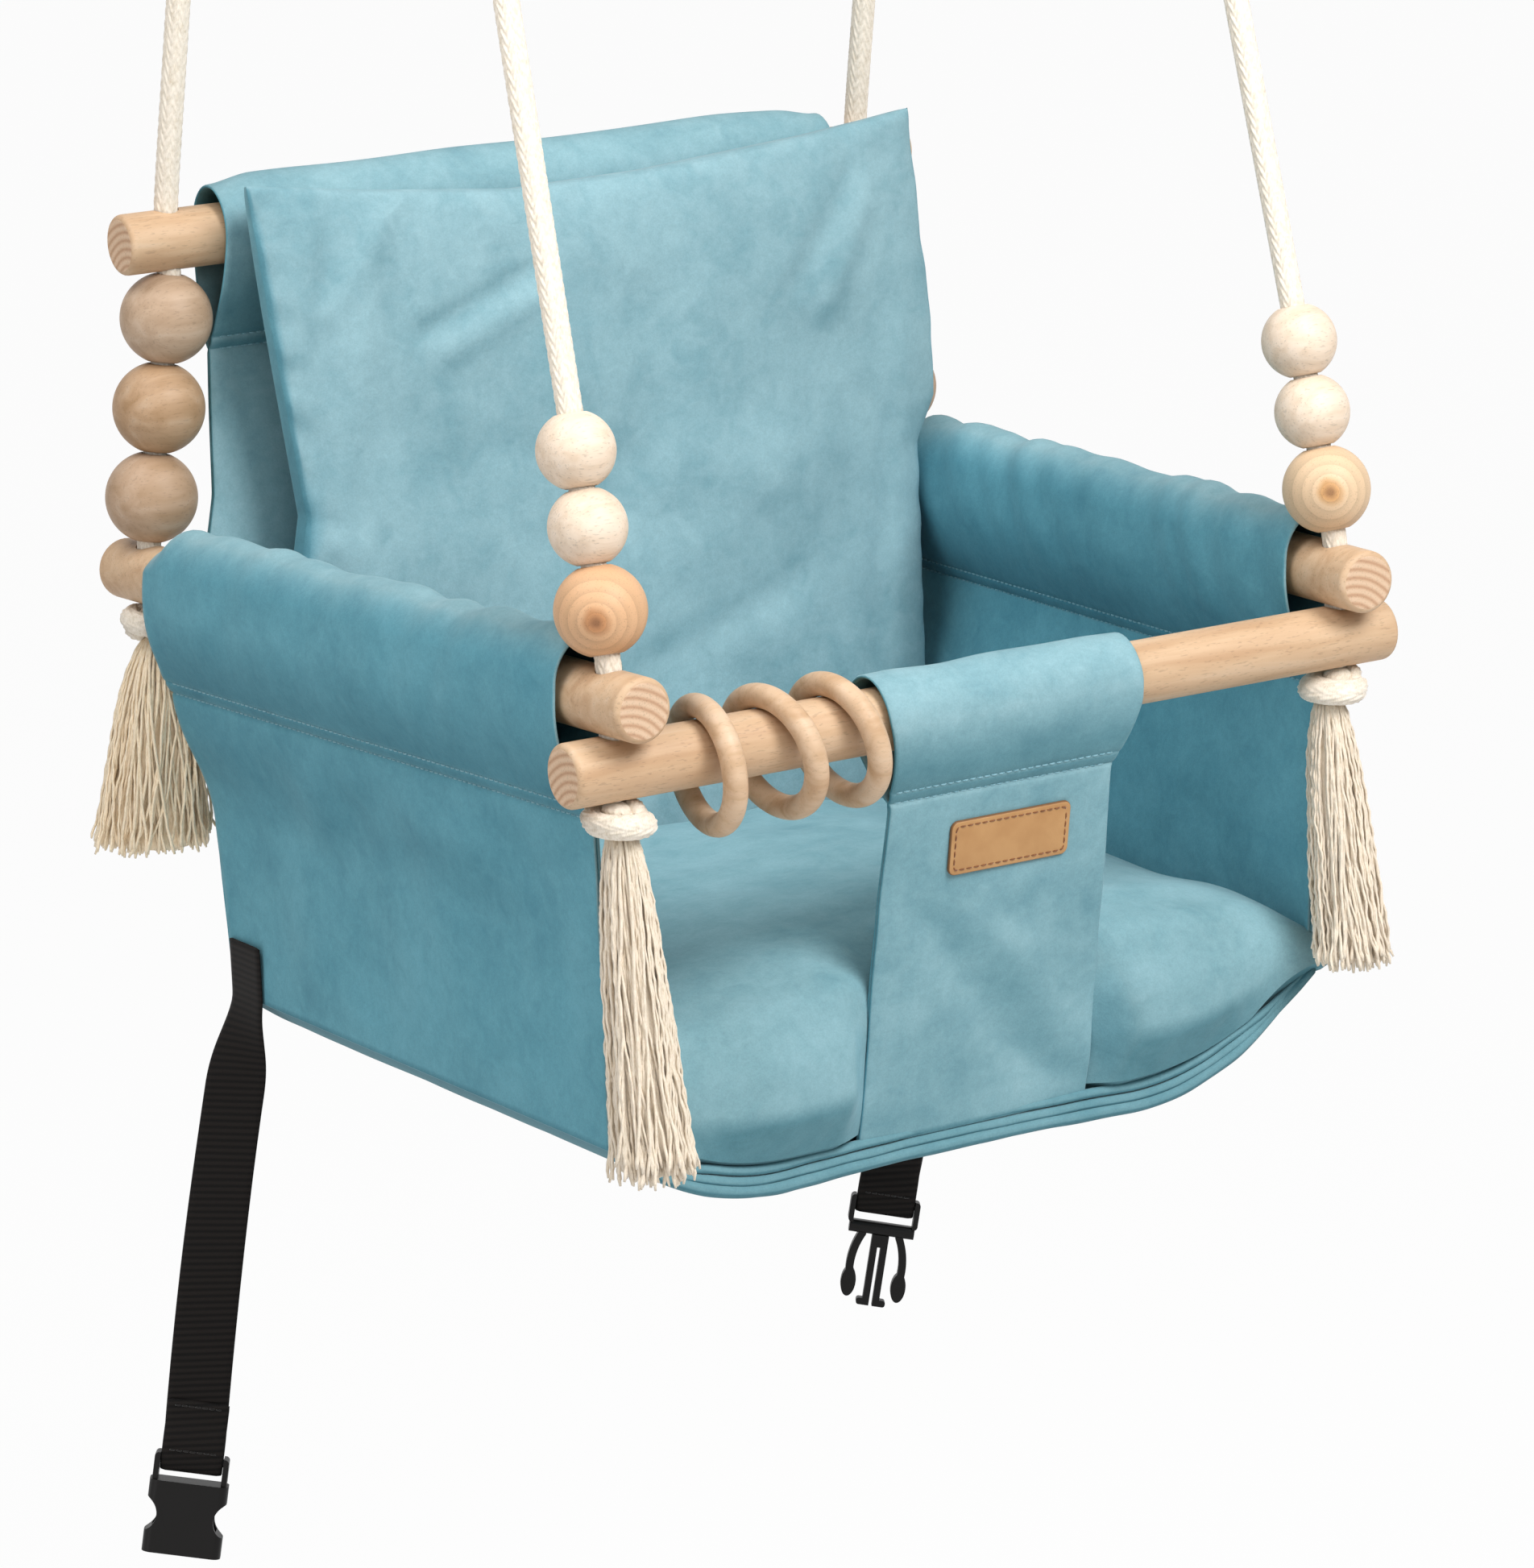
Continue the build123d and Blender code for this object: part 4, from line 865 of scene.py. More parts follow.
class SWING_OT_tassels(bpy.types.Operator):
    """Makes the four yarn tassels, strand by strand"""

    bl_idname = "swing.tassels"
    bl_label = "Tassels"

    def execute(self, context):
        unbleached = combed_cotton("unbleached_yarn", "#EBDECB", "#D8C8B0", 0.35)
        # a lighter, yellower copy of the yarn: painted light for the rear left tassel, which hangs in shade
        brightened_yarn = combed_cotton("yarn_painted_light", "#FBE9CC", "#E6D0AC", 0.35)
        for number, (end, name) in enumerate(ROPE_ENDS):
            node = f"{end}_{name}_tassel"
            foot_z = seat_box(node)[0][2]
            knot_low, knot_high = seat_box(f"{end}_{name}_stopper_knot")
            centre = (knot_low + knot_high) / 2
            top = (centre[0] + TASSEL_SHIFT[end, name], centre[1], knot_low[2] + 1.5)
            length = top[2] - foot_z
            rng = np.random.default_rng(TASSEL_SEED + number)
            parts = []
            for _ in range(TASSEL_STRANDS[end]):
                line, thick = tassel_strand(rng, end, top, length)
                widths = np.full(STRAND_STEPS, thick / 2)
                widths[-len(STRAND_FRAY):] *= STRAND_FRAY
                parts.append(plain_tube(line, widths, STRAND_SIDES))
            share = np.linspace(0, 0.93, 24)
            core = np.stack([np.full(24, top[0]), top[1] + TASSEL_SWAY[end] * share ** 1.3,
                             top[2] - length * share], -1)
            parts.append(plain_tube(core, TASSEL_CORE * tassel_opening(end, share), 20))
            verts, faces = joined(*parts)
            # the rear left tassel takes the lighter yarn: painted light
            yarn = brightened_yarn if (end, name) == ("rear", "left") else unbleached
            add_piece(f"{end}_{name}_yarn_tassel", verts, faces, yarn, node, (node,))
        return {"FINISHED"}


# ------------------------------------------------------------------ wood

BORE_R = 5.25
BORE_LIP = 0.9              # how wide the bore's mouth is broken
BEAD_FACETS = 96
RING_FACETS = (128, 36)     # round the ring and round its wire
BEADS = {                   # each rope's beads, from the lowest
    "front": ("large_bead", "lower_small_bead", "upper_small_bead"),
    "rear": ("lower_bead", "middle_bead", "upper_bead"),
}
REAR_TONES = (("#B1957B", "#A38669"), ("#B39373", "#A2815F"), ("#BBA188", "#AC9177"))
LARGE_BEAD = {              # tones of the end grain beads, and where their pith comes out
    "left": ("#D6AB83", "#C08A5E", (-0.59, -0.8, -0.06)),
    "right": ("#DDBF9C", "#CF9F6B", (-0.5, -0.8, 0.1)),
}
PITH_AWAY = (-9.0, -9.0, -21.0)     # the tree's pith lies outside the dowels
SAWN_FACE = 0.97            # a dowel's face that points this much along it is a sawn end


def drilled_bead(centre, axis, radius):
    """Turned bead: a ball with a drilled bore whose mouths are broken to a soft lip."""
    rim = math.asin((BORE_R + BORE_LIP) / radius)
    angle = np.linspace(rim, math.pi - rim, 64)
    outer = np.stack([radius * np.sin(angle), radius * np.cos(angle)], -1)
    mouth = math.sqrt(radius ** 2 - (BORE_R + BORE_LIP) ** 2)
    lip = np.array([(BORE_R, mouth - BORE_LIP), (BORE_R + BORE_LIP * 0.3, mouth - BORE_LIP * 0.25)])
    profile = np.concatenate([lip, outer, lip[::-1] * (1, -1)])
    turn = np.linspace(0, 2 * math.pi, BEAD_FACETS, endpoint=False)
    axis = unit(np.asarray(axis, float))
    first = unit(np.cross(axis, (0.0, 1.0, 0.0)))
    ring = np.cos(turn)[:, None] * first + np.sin(turn)[:, None] * np.cross(axis, first)
    verts = np.asarray(centre) + profile[:, :1, None] * ring[None] + profile[:, 1:, None] * axis
    return verts.reshape(-1, 3), grid_faces(len(profile), BEAD_FACETS, wrap_rows=True, wrap_columns=True)


class SWING_OT_beads(bpy.types.Operator):
    """Makes the twelve turned beads"""

    bl_idname = "swing.beads"
    bl_label = "Beads"

    def execute(self, context):
        axes = {joint["child"]: joint["axis"] for joint in frame["joints"]}
        for end, name in ROPE_ENDS:
            for number, bead in enumerate(BEADS[end]):
                node = f"{end}_{name}_{bead}"
                low, high = seat_box(node)
                centre = (low + high) / 2
                # its true width is the one square to the plane in which its rope leans
                radius = (high - low)[0 if end == "front" else 1] / 2
                verts, faces = drilled_bead(centre, axes[node], radius)
                wood, slot = bead_wood(end, name, number, centre)
                add_piece(f"{node}_turned", verts, faces, wood, node, (node,))
        return {"FINISHED"}


def bead_wood(end, name, number, centre):
    """Material and slot of a bead. Each is cut from its own piece, so its grain lies its own way."""
    key = f"turned_{end}_{name}_{number}"
    if end == "rear":
        along = (0.3 * number, 1.2 + 0.35 * number, 0.5 * number)
        return sanded_beech(key, *REAR_TONES[number], along, grain=1.0, flecks=0.6), "turned_maple_bead"
    if number == 0:
        light, dark, pith = LARGE_BEAD[name]
        return end_grain(key, light, dark, centre, pith), "end_grain_bead"
    along = (0.1 * number, math.radians(80), 0.2)
    return sanded_beech(key, "#E6D3BE", "#DCC6AE", along, grain=0.55, flecks=0.7), "pale_beech_bead"


def split_ends(node, face_material, facing):
    """Gives a dowel's sawn end faces, which point along facing, their own material."""
    mesh = node.data
    mesh.materials.append(face_material)
    slot = len(mesh.materials) - 1
    facing = Vector(facing).normalized()
    for polygon in mesh.polygons:
        if abs(polygon.normal.dot(facing)) > SAWN_FACE:
            polygon.material_index = slot


class SWING_OT_dowels(bpy.types.Operator):
    """Gives the four dowels their long grain and sawn end grain"""

    bl_idname = "swing.dowels"
    bl_label = "Dowels"

    def execute(self, context):
        arm_turn = math.atan(ARM_SLOPE)
        ways = {"front_dowel": ((1, 0, 0), 0.0), "back_dowel": ((1, 0, 0), 0.0)}
        for name, side in SIDES.items():
            ways[f"{name}_arm_dowel"] = ((side * math.sin(arm_turn), math.cos(arm_turn), 0),
                                         -math.pi / 2 + side * arm_turn)
        for name, (along, turn) in ways.items():
            node = frame["nodes"][name]
            grain = sanded_beech(f"sanded_beech_{name}", colours().beech, "#BD9A78", (0, 0, turn),
                                 grain=1.0, flecks=0.65)
            node.data.materials.clear()
            node.data.materials.append(grain)
            split_ends(node, sawn_end(f"sawn_beech_{name}", along, middle(name)), along)
        return {"FINISHED"}


def sawn_end(name, along, centre):
    """Sawn beech end grain: the growth rings cross it as arcs, with darker pores between."""
    material, tree, shader = new_material(name, roughness=0.6, Specular_IOR_Level=0.25)
    turned = place_from(tree, np.asarray(centre) + PITH_AWAY, along)
    rings = add_node(tree, "ShaderNodeTexWave", {"Vector": turned}, wave_type="RINGS", rings_direction="Z",
                     wave_profile="SIN", Scale=wave_scale(SAWN_RING), Distortion=0.5, Detail=2.0)
    pores = noise_at(tree, turned, 0.7, detail=1)
    tone = stops(tree, rings.outputs["Fac"], (0.0, "#BC9678"), (0.3, "#CCA98B"), (0.9, "#D8BA9D"))
    dots = stops(tree, pores, (0.3, 0.8), (0.45, 1.0))
    tree.links.new(mixed(tree, 0.8, tone, dots, "MULTIPLY"), shader.inputs["Base Color"])
    bump(tree, shader, (pores, 0.15, 0.1))
    return material


class SWING_OT_rings(bpy.types.Operator):
    """Makes the three turned toy rings"""

    bl_idname = "swing.rings"
    bl_label = "Toy rings"

    def execute(self, context):
        for number, place in enumerate(("left", "middle", "right")):
            node = f"{place}_toy_ring"
            maple = sanded_beech(f"turned_maple_{place}_ring", "#D3B596", "#BF9C79",
                                 (0.3, 0.2 + 0.2 * number, 0.4), grain=1.2, flecks=0.4)
            verts, faces = ring_mesh(node)
            add_piece(f"{node}_turned", verts, faces, maple, node, (node,))
        return {"FINISHED"}


def ring_mesh(node):
    """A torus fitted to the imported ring: its plane and size come from the ring's own points."""
    points = (np.array([v.co for v in frame["nodes"][node].data.vertices]) - ORIGIN) / MM
    centre = points.mean(0)
    flat = points - centre
    normal = np.linalg.eigh(flat.T @ flat)[1][:, 0]
    first = unit(np.cross(normal, (0.0, 0.0, 1.0)))
    second = np.cross(normal, first)
    thick = np.ptp(flat @ normal) / 2
    large = np.abs(flat @ first).max() - thick
    turn, around = (np.linspace(0, 2 * math.pi, count, endpoint=False) for count in RING_FACETS)
    grid_turn, grid_around = np.meshgrid(turn, around, indexing="ij")
    reach = large + thick * np.cos(grid_around)
    height = thick * np.sin(grid_around)
    verts = (centre + (np.cos(grid_turn) * reach)[..., None] * first
             + (np.sin(grid_turn) * reach)[..., None] * second + height[..., None] * normal)
    return verts.reshape(-1, 3), grid_faces(*RING_FACETS, wrap_rows=True, wrap_columns=True)


# ------------------------------------------------------------------ sewn pieces

SEAM_DROP = 47.0            # from the dowel's axis down to the tunnel seam, arms and back
SEAM_ROW = 6.0              # between the two rows of topstitching
SEAM_DENT = 0.6             # how far a row of stitching pulls the cloth in
FLAP_DENT = 0.55            # and on the flap
PLIES = 0.75                # half the distance between the two plies of a sewn panel
SIDE_FRONT_Y = 14.0         # side panels' front edge
SIDE_TUNNEL_END = 318.0
SIDE_KNEE_Z = -78.0         # the rear of the side panels draws in down to here
SIDE_DRAW_IN = 15.6
SIDE_CORNER_CUT = 16.0      # how far the lower rear corner stops short of the back panel
ARM_SEAM_Z = ARM_Z - SEAM_DROP
ARM_TUNNEL = {"half_w": 14.4, "top": 22.5, "drop": SEAM_DROP, "waist": 4.0}
ARM_TUNNEL_H = 22.0         # height of the tunnel over which its gathers are shared
GATHER = 1.5                # height of the armrests' gathers, and their distance
GATHER_PITCH = 33.0
GATHER_LEAN = 0.35
CORNER_DRAW = 7.0           # the right front corner's way inwards and upwards
CORNER_RISE = 10.0
BACK_FOOT_Y = 311.0         # back panel's front face at the side panels' lower edge
BACK_SEAM_Z = BACK_Z - SEAM_DROP
BACK_SLOPE = (BACK_Y - 1.5 - BACK_FOOT_Y) / (BACK_SEAM_Z - PANEL_FOOT_Z)
BACK_TUNNEL = {"half_w": 14.4, "top": 19.5, "drop": SEAM_DROP, "waist": 2.0}
BACK_TUNNEL_H = 20.0
SAG_DEPTH = PANEL_FOOT_Z - BASE_Z
SAG_FLAT = 85.0             # half width of the sag's flat middle
BASE_T = 3.0                # both plies of the base
BASE_LIFT = BASE_T / 2
HEM_SCOOP = 20.0            # how far the base's front edge draws back in the middle
HEM_FRONT_Y = 6.0
HEM_H = 11.0
HEM_BAND = (                # each row's height, its step to the back and its thickness
    (11.6, 0.1, 2.0), (10.9, -0.9, 2.6), (10.0, -0.8, 2.8), (9.0, 0.5, 2.2), (8.0, 0.7, 2.2), (7.0, -0.6, 3.0),
    (6.0, -1.0, 3.2), (5.1, -0.5, 2.8), (4.3, 0.4, 2.4), (3.3, -1.3, 3.4), (2.3, -2.0, 3.8), (1.3, -1.3, 3.4),
)
HEM_STITCH_ROWS = (4, 8)
FLAP_X = 4.0
FLAP_SEAM_Z = -33.0
FLAP_FOOT_Y = 28.0          # flap's plane at the height of the base's underside
FLAP_FOOT_Z = BASE_Z + HEM_H - 2.0
FLAP_TUNNEL = {"half_w": 14.2, "top": 17.0, "drop": -FLAP_SEAM_Z, "waist": 1.0}
# Half width of the flap to the left and to the right of its middle, by height
FLAP_LEFT = {FLAP_FOOT_Z: 54, -120: 53, FLAP_SEAM_Z - 3: 50.5, FLAP_SEAM_Z + 8: 53.5, 2: 59, 30: 60}
FLAP_RIGHT = {FLAP_FOOT_Z: 52.5, -120: 53, FLAP_SEAM_Z - 3: 51.5, FLAP_SEAM_Z + 6: 54, -8: 58, 30: 57.5}


def profile_at(value, profile):
    """A profile's value, straight between its given points."""
    return np.interp(value, list(profile), list(profile.values()))


def arm_x(y):
    """X of the right arm dowel's axis."""
    return HOLE_X + ARM_SLOPE * np.asarray(y, float)


def side_x(y, z):
    """Half width of the side panels' middle plane: upright in front, drawn in at the rear."""
    share = (np.asarray(y, float) - SIDE_FRONT_Y) / (BACK_Y - SIDE_FRONT_Y)
    drawn = SIDE_DRAW_IN * smooth_step(ARM_SEAM_Z, SIDE_KNEE_Z, z)
    return arm_x(SIDE_FRONT_Y) + share * (arm_x(BACK_Y) - drawn - arm_x(SIDE_FRONT_Y))


def drawn_in(y, z):
    """How far the weight of the cushion has drawn in the right panel's lower front corner."""
    return CORNER_DRAW * smooth_step(-25.0, -140.0, z) * smooth_step(130.0, SIDE_FRONT_Y, y)


def drawn_up(y, z):
    """And how far that corner has risen."""
    return CORNER_RISE * smooth_step(-90.0, PANEL_FOOT_Z, z) * smooth_step(110.0, SIDE_FRONT_Y, y)


def back_y(z):
    """Front face of the leaning back panel."""
    return BACK_FOOT_Y + BACK_SLOPE * (np.asarray(z, float) - PANEL_FOOT_Z)


def sag_z(x, y, lift=0.0):
    """Height of the sagging base, raised square to its underside."""
    half_w = side_x(y, PANEL_FOOT_Z)
    radius = ((half_w - SAG_FLAT) ** 2 + SAG_DEPTH ** 2) / (2 * SAG_DEPTH)
    out = np.clip(np.abs(x) - SAG_FLAT, 0, None)
    return BASE_Z + radius - np.sqrt(np.clip((radius - lift) ** 2 - out ** 2, 1, None))


def flap_y(z):
    """Y of the middle of the flap's two plies, below its seam."""
    return FLAP_FOOT_Y * (FLAP_SEAM_Z - np.asarray(z, float)) / (FLAP_SEAM_Z - BASE_Z)


def hem_y(x):
    """Scooped front edge of the base."""
    half_w = float(side_x(0, PANEL_FOOT_Z))
    radius = (half_w ** 2 + HEM_SCOOP ** 2) / (2 * HEM_SCOOP)
    return HEM_FRONT_Y + HEM_SCOOP - radius + np.sqrt(radius ** 2 - np.clip(np.abs(x), 0, half_w) ** 2)


def tunnel_section(half_w, top, drop, waist):
    """Half of a tunnel's section above its seam, from the seam out and up to the top."""
    share = np.linspace(0, 1, 40)
    rise = np.stack([PLIES + (half_w - PLIES) * np.sin(share * math.pi / 2) ** 0.92,
                     -drop + (waist + drop) * share], -1)
    turn = np.linspace(0, math.pi / 2, 24)[1:]
    arch = np.stack([half_w * np.cos(turn), waist + (top - waist) * np.sin(turn)], -1)
    return np.concatenate([rise, arch])


def folded_section(tunnel, foot):
    """Whole section of a cover folded over its dowel, from the outer foot to the inner one,
    with finer points near the seams. Returns offsets out of the panel's plane, heights, and
    the numbers of the columns that lie on the two rows of stitching, outer and inner."""
    seam = tunnel[0, 1]
    outer = np.concatenate([[(PLIES, foot)], tunnel])
    whole = np.concatenate([outer, (outer[::-1] * (-1, 1))[1:]])
    reach = along_line(whole)
    first = seam - foot
    marks = [first, first + SEAM_ROW, reach[-1] - first - SEAM_ROW, reach[-1] - first]
    at = list(np.arange(0, reach[-1], sizes().grid)) + [reach[-1]]
    at = [a for a in at if min(abs(a - m) for m in marks) > 3.2]
    for mark in marks:
        at += [mark + step for step in (-2.4, -1.5, -0.8, 0, 0.8, 1.5, 2.4)]
    at = np.sort(np.array(at))
    rows = [int(np.argmin(np.abs(at - m))) for m in marks]
    return np.interp(at, reach, whole[:, 0]), np.interp(at, reach, whole[:, 1]), rows, at


def pressed_seam(at, rows, depth=SEAM_DENT):
    """How far the rows of stitching pull the cloth in, at each column."""
    return depth * np.max([np.exp(-((at - at[row]) / 1.1) ** 2) for row in rows], axis=0)


def stitched(line, outward, length, thread=0.42):
    """Topstitching along a line on cloth. Each stitch rises out of the cloth and dips back."""
    both = resampled(np.concatenate([line, outward], -1), 0.7)
    reach = along_line(both[:, :3])
    parts = []
    share = np.linspace(0, 1, 6)
    for start in np.arange(0.8, reach[-1] - length, length * 1.3):
        at = start + share * length
        found = np.stack([np.interp(at, reach, both[:, i]) for i in range(6)], -1)
        lift = 0.34 * np.sin(share * math.pi) - 0.16
        centre = found[:, :3] + found[:, 3:] * lift[:, None]
        parts.append(plain_tube(centre, thread * np.array((0.72, 0.95, 1, 1, 0.95, 0.72)), 6))
    return parts


class Sewing:
    """Collects the stitches of all seams, to make them one piece."""

    def __init__(self):
        self.parts = []

    def seam(self, points, normals, half):
        """One row of stitches on cloth whose surface lies half its thickness out of points."""
        self.parts += stitched(points + normals * half, normals, sizes().stitch)

    def columns(self, points, columns):
        """Rows of stitches along columns of a cover's grid, outside and inside."""
        normal = grid_normals(points)
        for column in columns:
            self.seam(points[1:-1, column], normal[1:-1, column], sizes().cloth / 2)

    def make(self, name, material):
        """The collected stitches as a piece."""
        verts, faces = joined(*self.parts)
        return add_piece(name, verts, faces, material, SEAT_BODY, ())


def cloth_piece(name, points, velvet, replaced, thickness=None):
    verts, faces = cloth_mesh(points, sizes().cloth if thickness is None else thickness)
    piece = add_piece(name, verts, faces, velvet, SEAT_BODY, (replaced,))


def side_cover(name, velvet, sewing):
    """One side panel: velvet folded over the arm dowel, topstitched below it, two plies down."""
    side = SIDES[name]
    u, w, rows, at = folded_section(tunnel_section(**ARM_TUNNEL), PANEL_FOOT_Z - ARM_Z)
    y = np.arange(SIDE_FRONT_Y, float(back_y(-20)) + 0.01, sizes().grid)
    y = np.concatenate([y[:1] + (0, 0.9), y[1:]])
    depth = y[-1] - y[0]
    y, grid_u = np.meshgrid(y, u, indexing="ij")
    grid_w = np.broadcast_to(w, y.shape)
    z = ARM_Z + grid_w
    # the tunnel's rear end stops short of the back panel, whose face trims the plies below
    in_tunnel = smooth_step(-SEAM_DROP + 2, -SEAM_DROP + 16, grid_w)
    limit = back_y(z) - 1.0 + in_tunnel * (SIDE_TUNNEL_END - back_y(z) + 1.0)
    limit = limit - smooth_step(-132.0, PANEL_FOOT_Z, z) * SIDE_CORNER_CUT
    y = SIDE_FRONT_Y + (y - SIDE_FRONT_Y) / depth * (limit - SIDE_FRONT_Y)
    # gathers of the tunnel: soft ridges across the armrest that lean and fade at the seam
    lean = y - side * GATHER_LEAN * grid_w
    plain = np.stack([lean, grid_w * 0.25, np.full_like(z, 3.0 * side)], -1)
    gather = waves(plain, (24, 2.0, 2.0 + side), (52, 2.2, 5.0 + side))
    drift = lean + 20 * soft_noise(plain * (1, 2.5, 1), 48, 6.0 + side)
    ridges = (1 - 0.55 * smooth_step(-4, 10, grid_u)) * (0.6 + 0.8 * soft_noise(plain, 70, 12.0 + side))
    gather = (gather + GATHER * np.sin(drift * 2 * math.pi / GATHER_PITCH) * ridges) / ARM_TUNNEL_H
    loft = smooth_step(-SEAM_DROP + 3, 6, grid_w)
    rear_end = smooth_step(SIDE_TUNNEL_END - 26, SIDE_TUNNEL_END, y) * loft
    rise = np.clip((grid_w + SEAM_DROP) / (SEAM_DROP + 4), 0, 1)
    belly = 3.0 * np.sin(rise * math.pi) * (0.6 + 0.4 * soft_noise(plain, 90, 9))
    out = grid_u * (1 + gather * loft) + np.sign(grid_u) * belly * (np.abs(grid_u) > PLIES + 0.3)
    out = out * (1 - 0.12 * rear_end)
    lift = np.clip(grid_w, 0, None) * gather * 0.9 - 9.0 * rear_end ** 2 * smooth_step(0, 22, grid_w)
    # the panel below: broad soft waves shared by both plies, and the stitching's dents
    wave = waves(level(y, z, 20.0 * side), (70, 3.4, 3 + side), (28, 1.1, 8 + side))
    wave = wave * (1 - smooth_step(-SEAM_DROP, -SEAM_DROP + 20, grid_w))
    wave = wave * smooth_step(-SEAM_DROP - 2, -SEAM_DROP - 30, grid_w)
    wave = wave * smooth_step(PANEL_FOOT_Z, PANEL_FOOT_Z + 20, z)
    wave = wave * (1 - 0.6 * smooth_step(SIDE_FRONT_Y + 30, SIDE_FRONT_Y, y))
    dent = pressed_seam(at, rows) * np.sign(grid_u)
    x = side * (np.where(z > ARM_SEAM_Z, arm_x(y), side_x(y, z)) + out + wave - dent)
    if side > 0:
        x, lift = x - drawn_in(y, z), lift + drawn_up(y, z)
    points = np.stack([x, y, z + lift], -1)
    if side < 0:
        points, rows = points[:, ::-1], [len(at) - 1 - row for row in rows]
    cloth_piece(f"{name}_side_cover", points, velvet, f"{name}_side_panel")
    sewing.columns(points, rows)


def back_cover(velvet, sewing):
    """Back panel: velvet folded over the back dowel, topstitched, two plies down to the base."""
    u, w, rows, at = folded_section(tunnel_section(**BACK_TUNNEL), BASE_Z + 1.0 - BACK_Z)
    share = np.linspace(-1, 1, 125)
    share, grid_u = np.meshgrid(share, u, indexing="ij")
    grid_w = np.broadcast_to(w, share.shape)
    z = BACK_Z + grid_w
    # half width: a little inside the beads at the top, out to the side panels below the arms
    low_x = float(side_x(BACK_FOOT_Y, PANEL_FOOT_Z)) - 0.5
    half_w = profile_at(z, {
        BASE_Z - 1: low_x, PANEL_FOOT_Z: low_x, SIDE_KNEE_Z: low_x + 1, ARM_SEAM_Z: low_x + 6,
        ARM_Z + 30: REAR_HOLE_X - 28.6, BACK_Z: HOLE_X - 20.0, BACK_Z + 30: HOLE_X - 20.0})
    x = share * half_w
    # the foot follows the sagging base
    z = z + (sag_z(x, back_y(z), 0.0) - BASE_Z) * smooth_step(-60, BASE_Z, z)
    ends = 1 - smooth_step(0.86, 1.0, np.abs(share))
    bulge = 2.2 * ends + soft_noise(level(x, z * 0.3), 60, 21) * 1.6
    bulge = bulge * smooth_step(-SEAM_DROP + 3, 6, grid_w) / BACK_TUNNEL_H
    wave = soft_noise(level(x, z), 75, 23) * 2.4 + soft_noise(level(x, z * 0.6), 30, 25) * 0.8
    wave = wave * (1 - smooth_step(-SEAM_DROP - 25, -SEAM_DROP, grid_w))
    wave = wave * smooth_step(BASE_Z + 4, BASE_Z + 40, z)
    dent = pressed_seam(at, rows) * np.sign(grid_u)
    plane = back_y(z) + 1.5
    plane = plane + (BACK_Y - plane) * smooth_step(BACK_SEAM_Z - 4, BACK_SEAM_Z + 30, z)
    y = plane + grid_u * (1 + bulge) - dent + wave * 0.8
    z = z + np.clip(grid_w, 0, None) * bulge * 1.2
    points = np.stack([x, y, z], -1)[::-1]
    cloth_piece("back_cover", points, velvet, "back_panel")
    sewing.columns(points, rows)


def base_cover(velvet, sewing):
    """Sagging seat base with its upstanding hem band along the scooped front edge."""
    x_share = np.linspace(-1, 1, 151)
    depth = np.concatenate([[0, 0.004, 0.012], np.linspace(0.024, 1, 116)])
    share_d, share_x = np.meshgrid(depth, x_share, indexing="ij")
    front = hem_y(share_x * side_x(0, PANEL_FOOT_Z)) + 0.8 + 7.0 * smooth_step(0.74, 1.0, np.abs(share_x))
    y = front + (back_y(BASE_Z) - 0.6 - front) * share_d
    x = share_x * (side_x(y, PANEL_FOOT_Z) - 0.2)
    z = sag_z(x, y, BASE_LIFT)
    edge = smooth_step(0.0, 0.2, share_d) * smooth_step(1.0, 0.9, share_d)
    edge = edge * smooth_step(1.0, 0.8, np.abs(share_x))
    wave = waves(level(x, y), (80, 1.6, 31), (34, 0.6, 33))
    floor = np.stack([x, y, z - np.abs(wave) * edge * 0.7], -1)
    # the hem band rises from the front edge and is rolled at its foot
    top_x = x_share * (side_x(0, PANEL_FOOT_Z) - 0.2)
    top_z = sag_z(top_x, front[0], BASE_LIFT) - BASE_LIFT
    band = []
    for height, step, _ in HEM_BAND:
        lift = height * (1 - 0.8 * smooth_step(0.72, 1.0, np.abs(x_share)))
        stray = soft_noise(np.stack([x[0], front[0] * 0, 4 * lift], -1), 16, 37) * 0.5
        band.append(np.stack([x[0], front[0] + step + stray, top_z + lift + 0.4 * stray], -1))
    band = np.array(band)
    for part, part_y in ((floor, y), (band, SIDE_FRONT_Y)):
        part[..., 0] -= drawn_in(part_y, PANEL_FOOT_Z) * smooth_step(0.35, 1.0, x_share)
        part[..., 2] += drawn_up(part_y, PANEL_FOOT_Z) * smooth_step(0.45, 0.95, x_share)
    points = np.concatenate([band, floor])
    thickness = np.full(points.shape[:2], BASE_T)
    thickness[:len(HEM_BAND)] = np.array(HEM_BAND)[:, 2:]
    points = points[:, ::-1]
    cloth_piece("base_cover", points, velvet, "seat_base",
                thickness)
    normal = grid_normals(points)
    for row in HEM_STITCH_ROWS:
        sewing.seam(points[row, 3:-3], normal[row, 3:-3], thickness[row, 0] / 2)


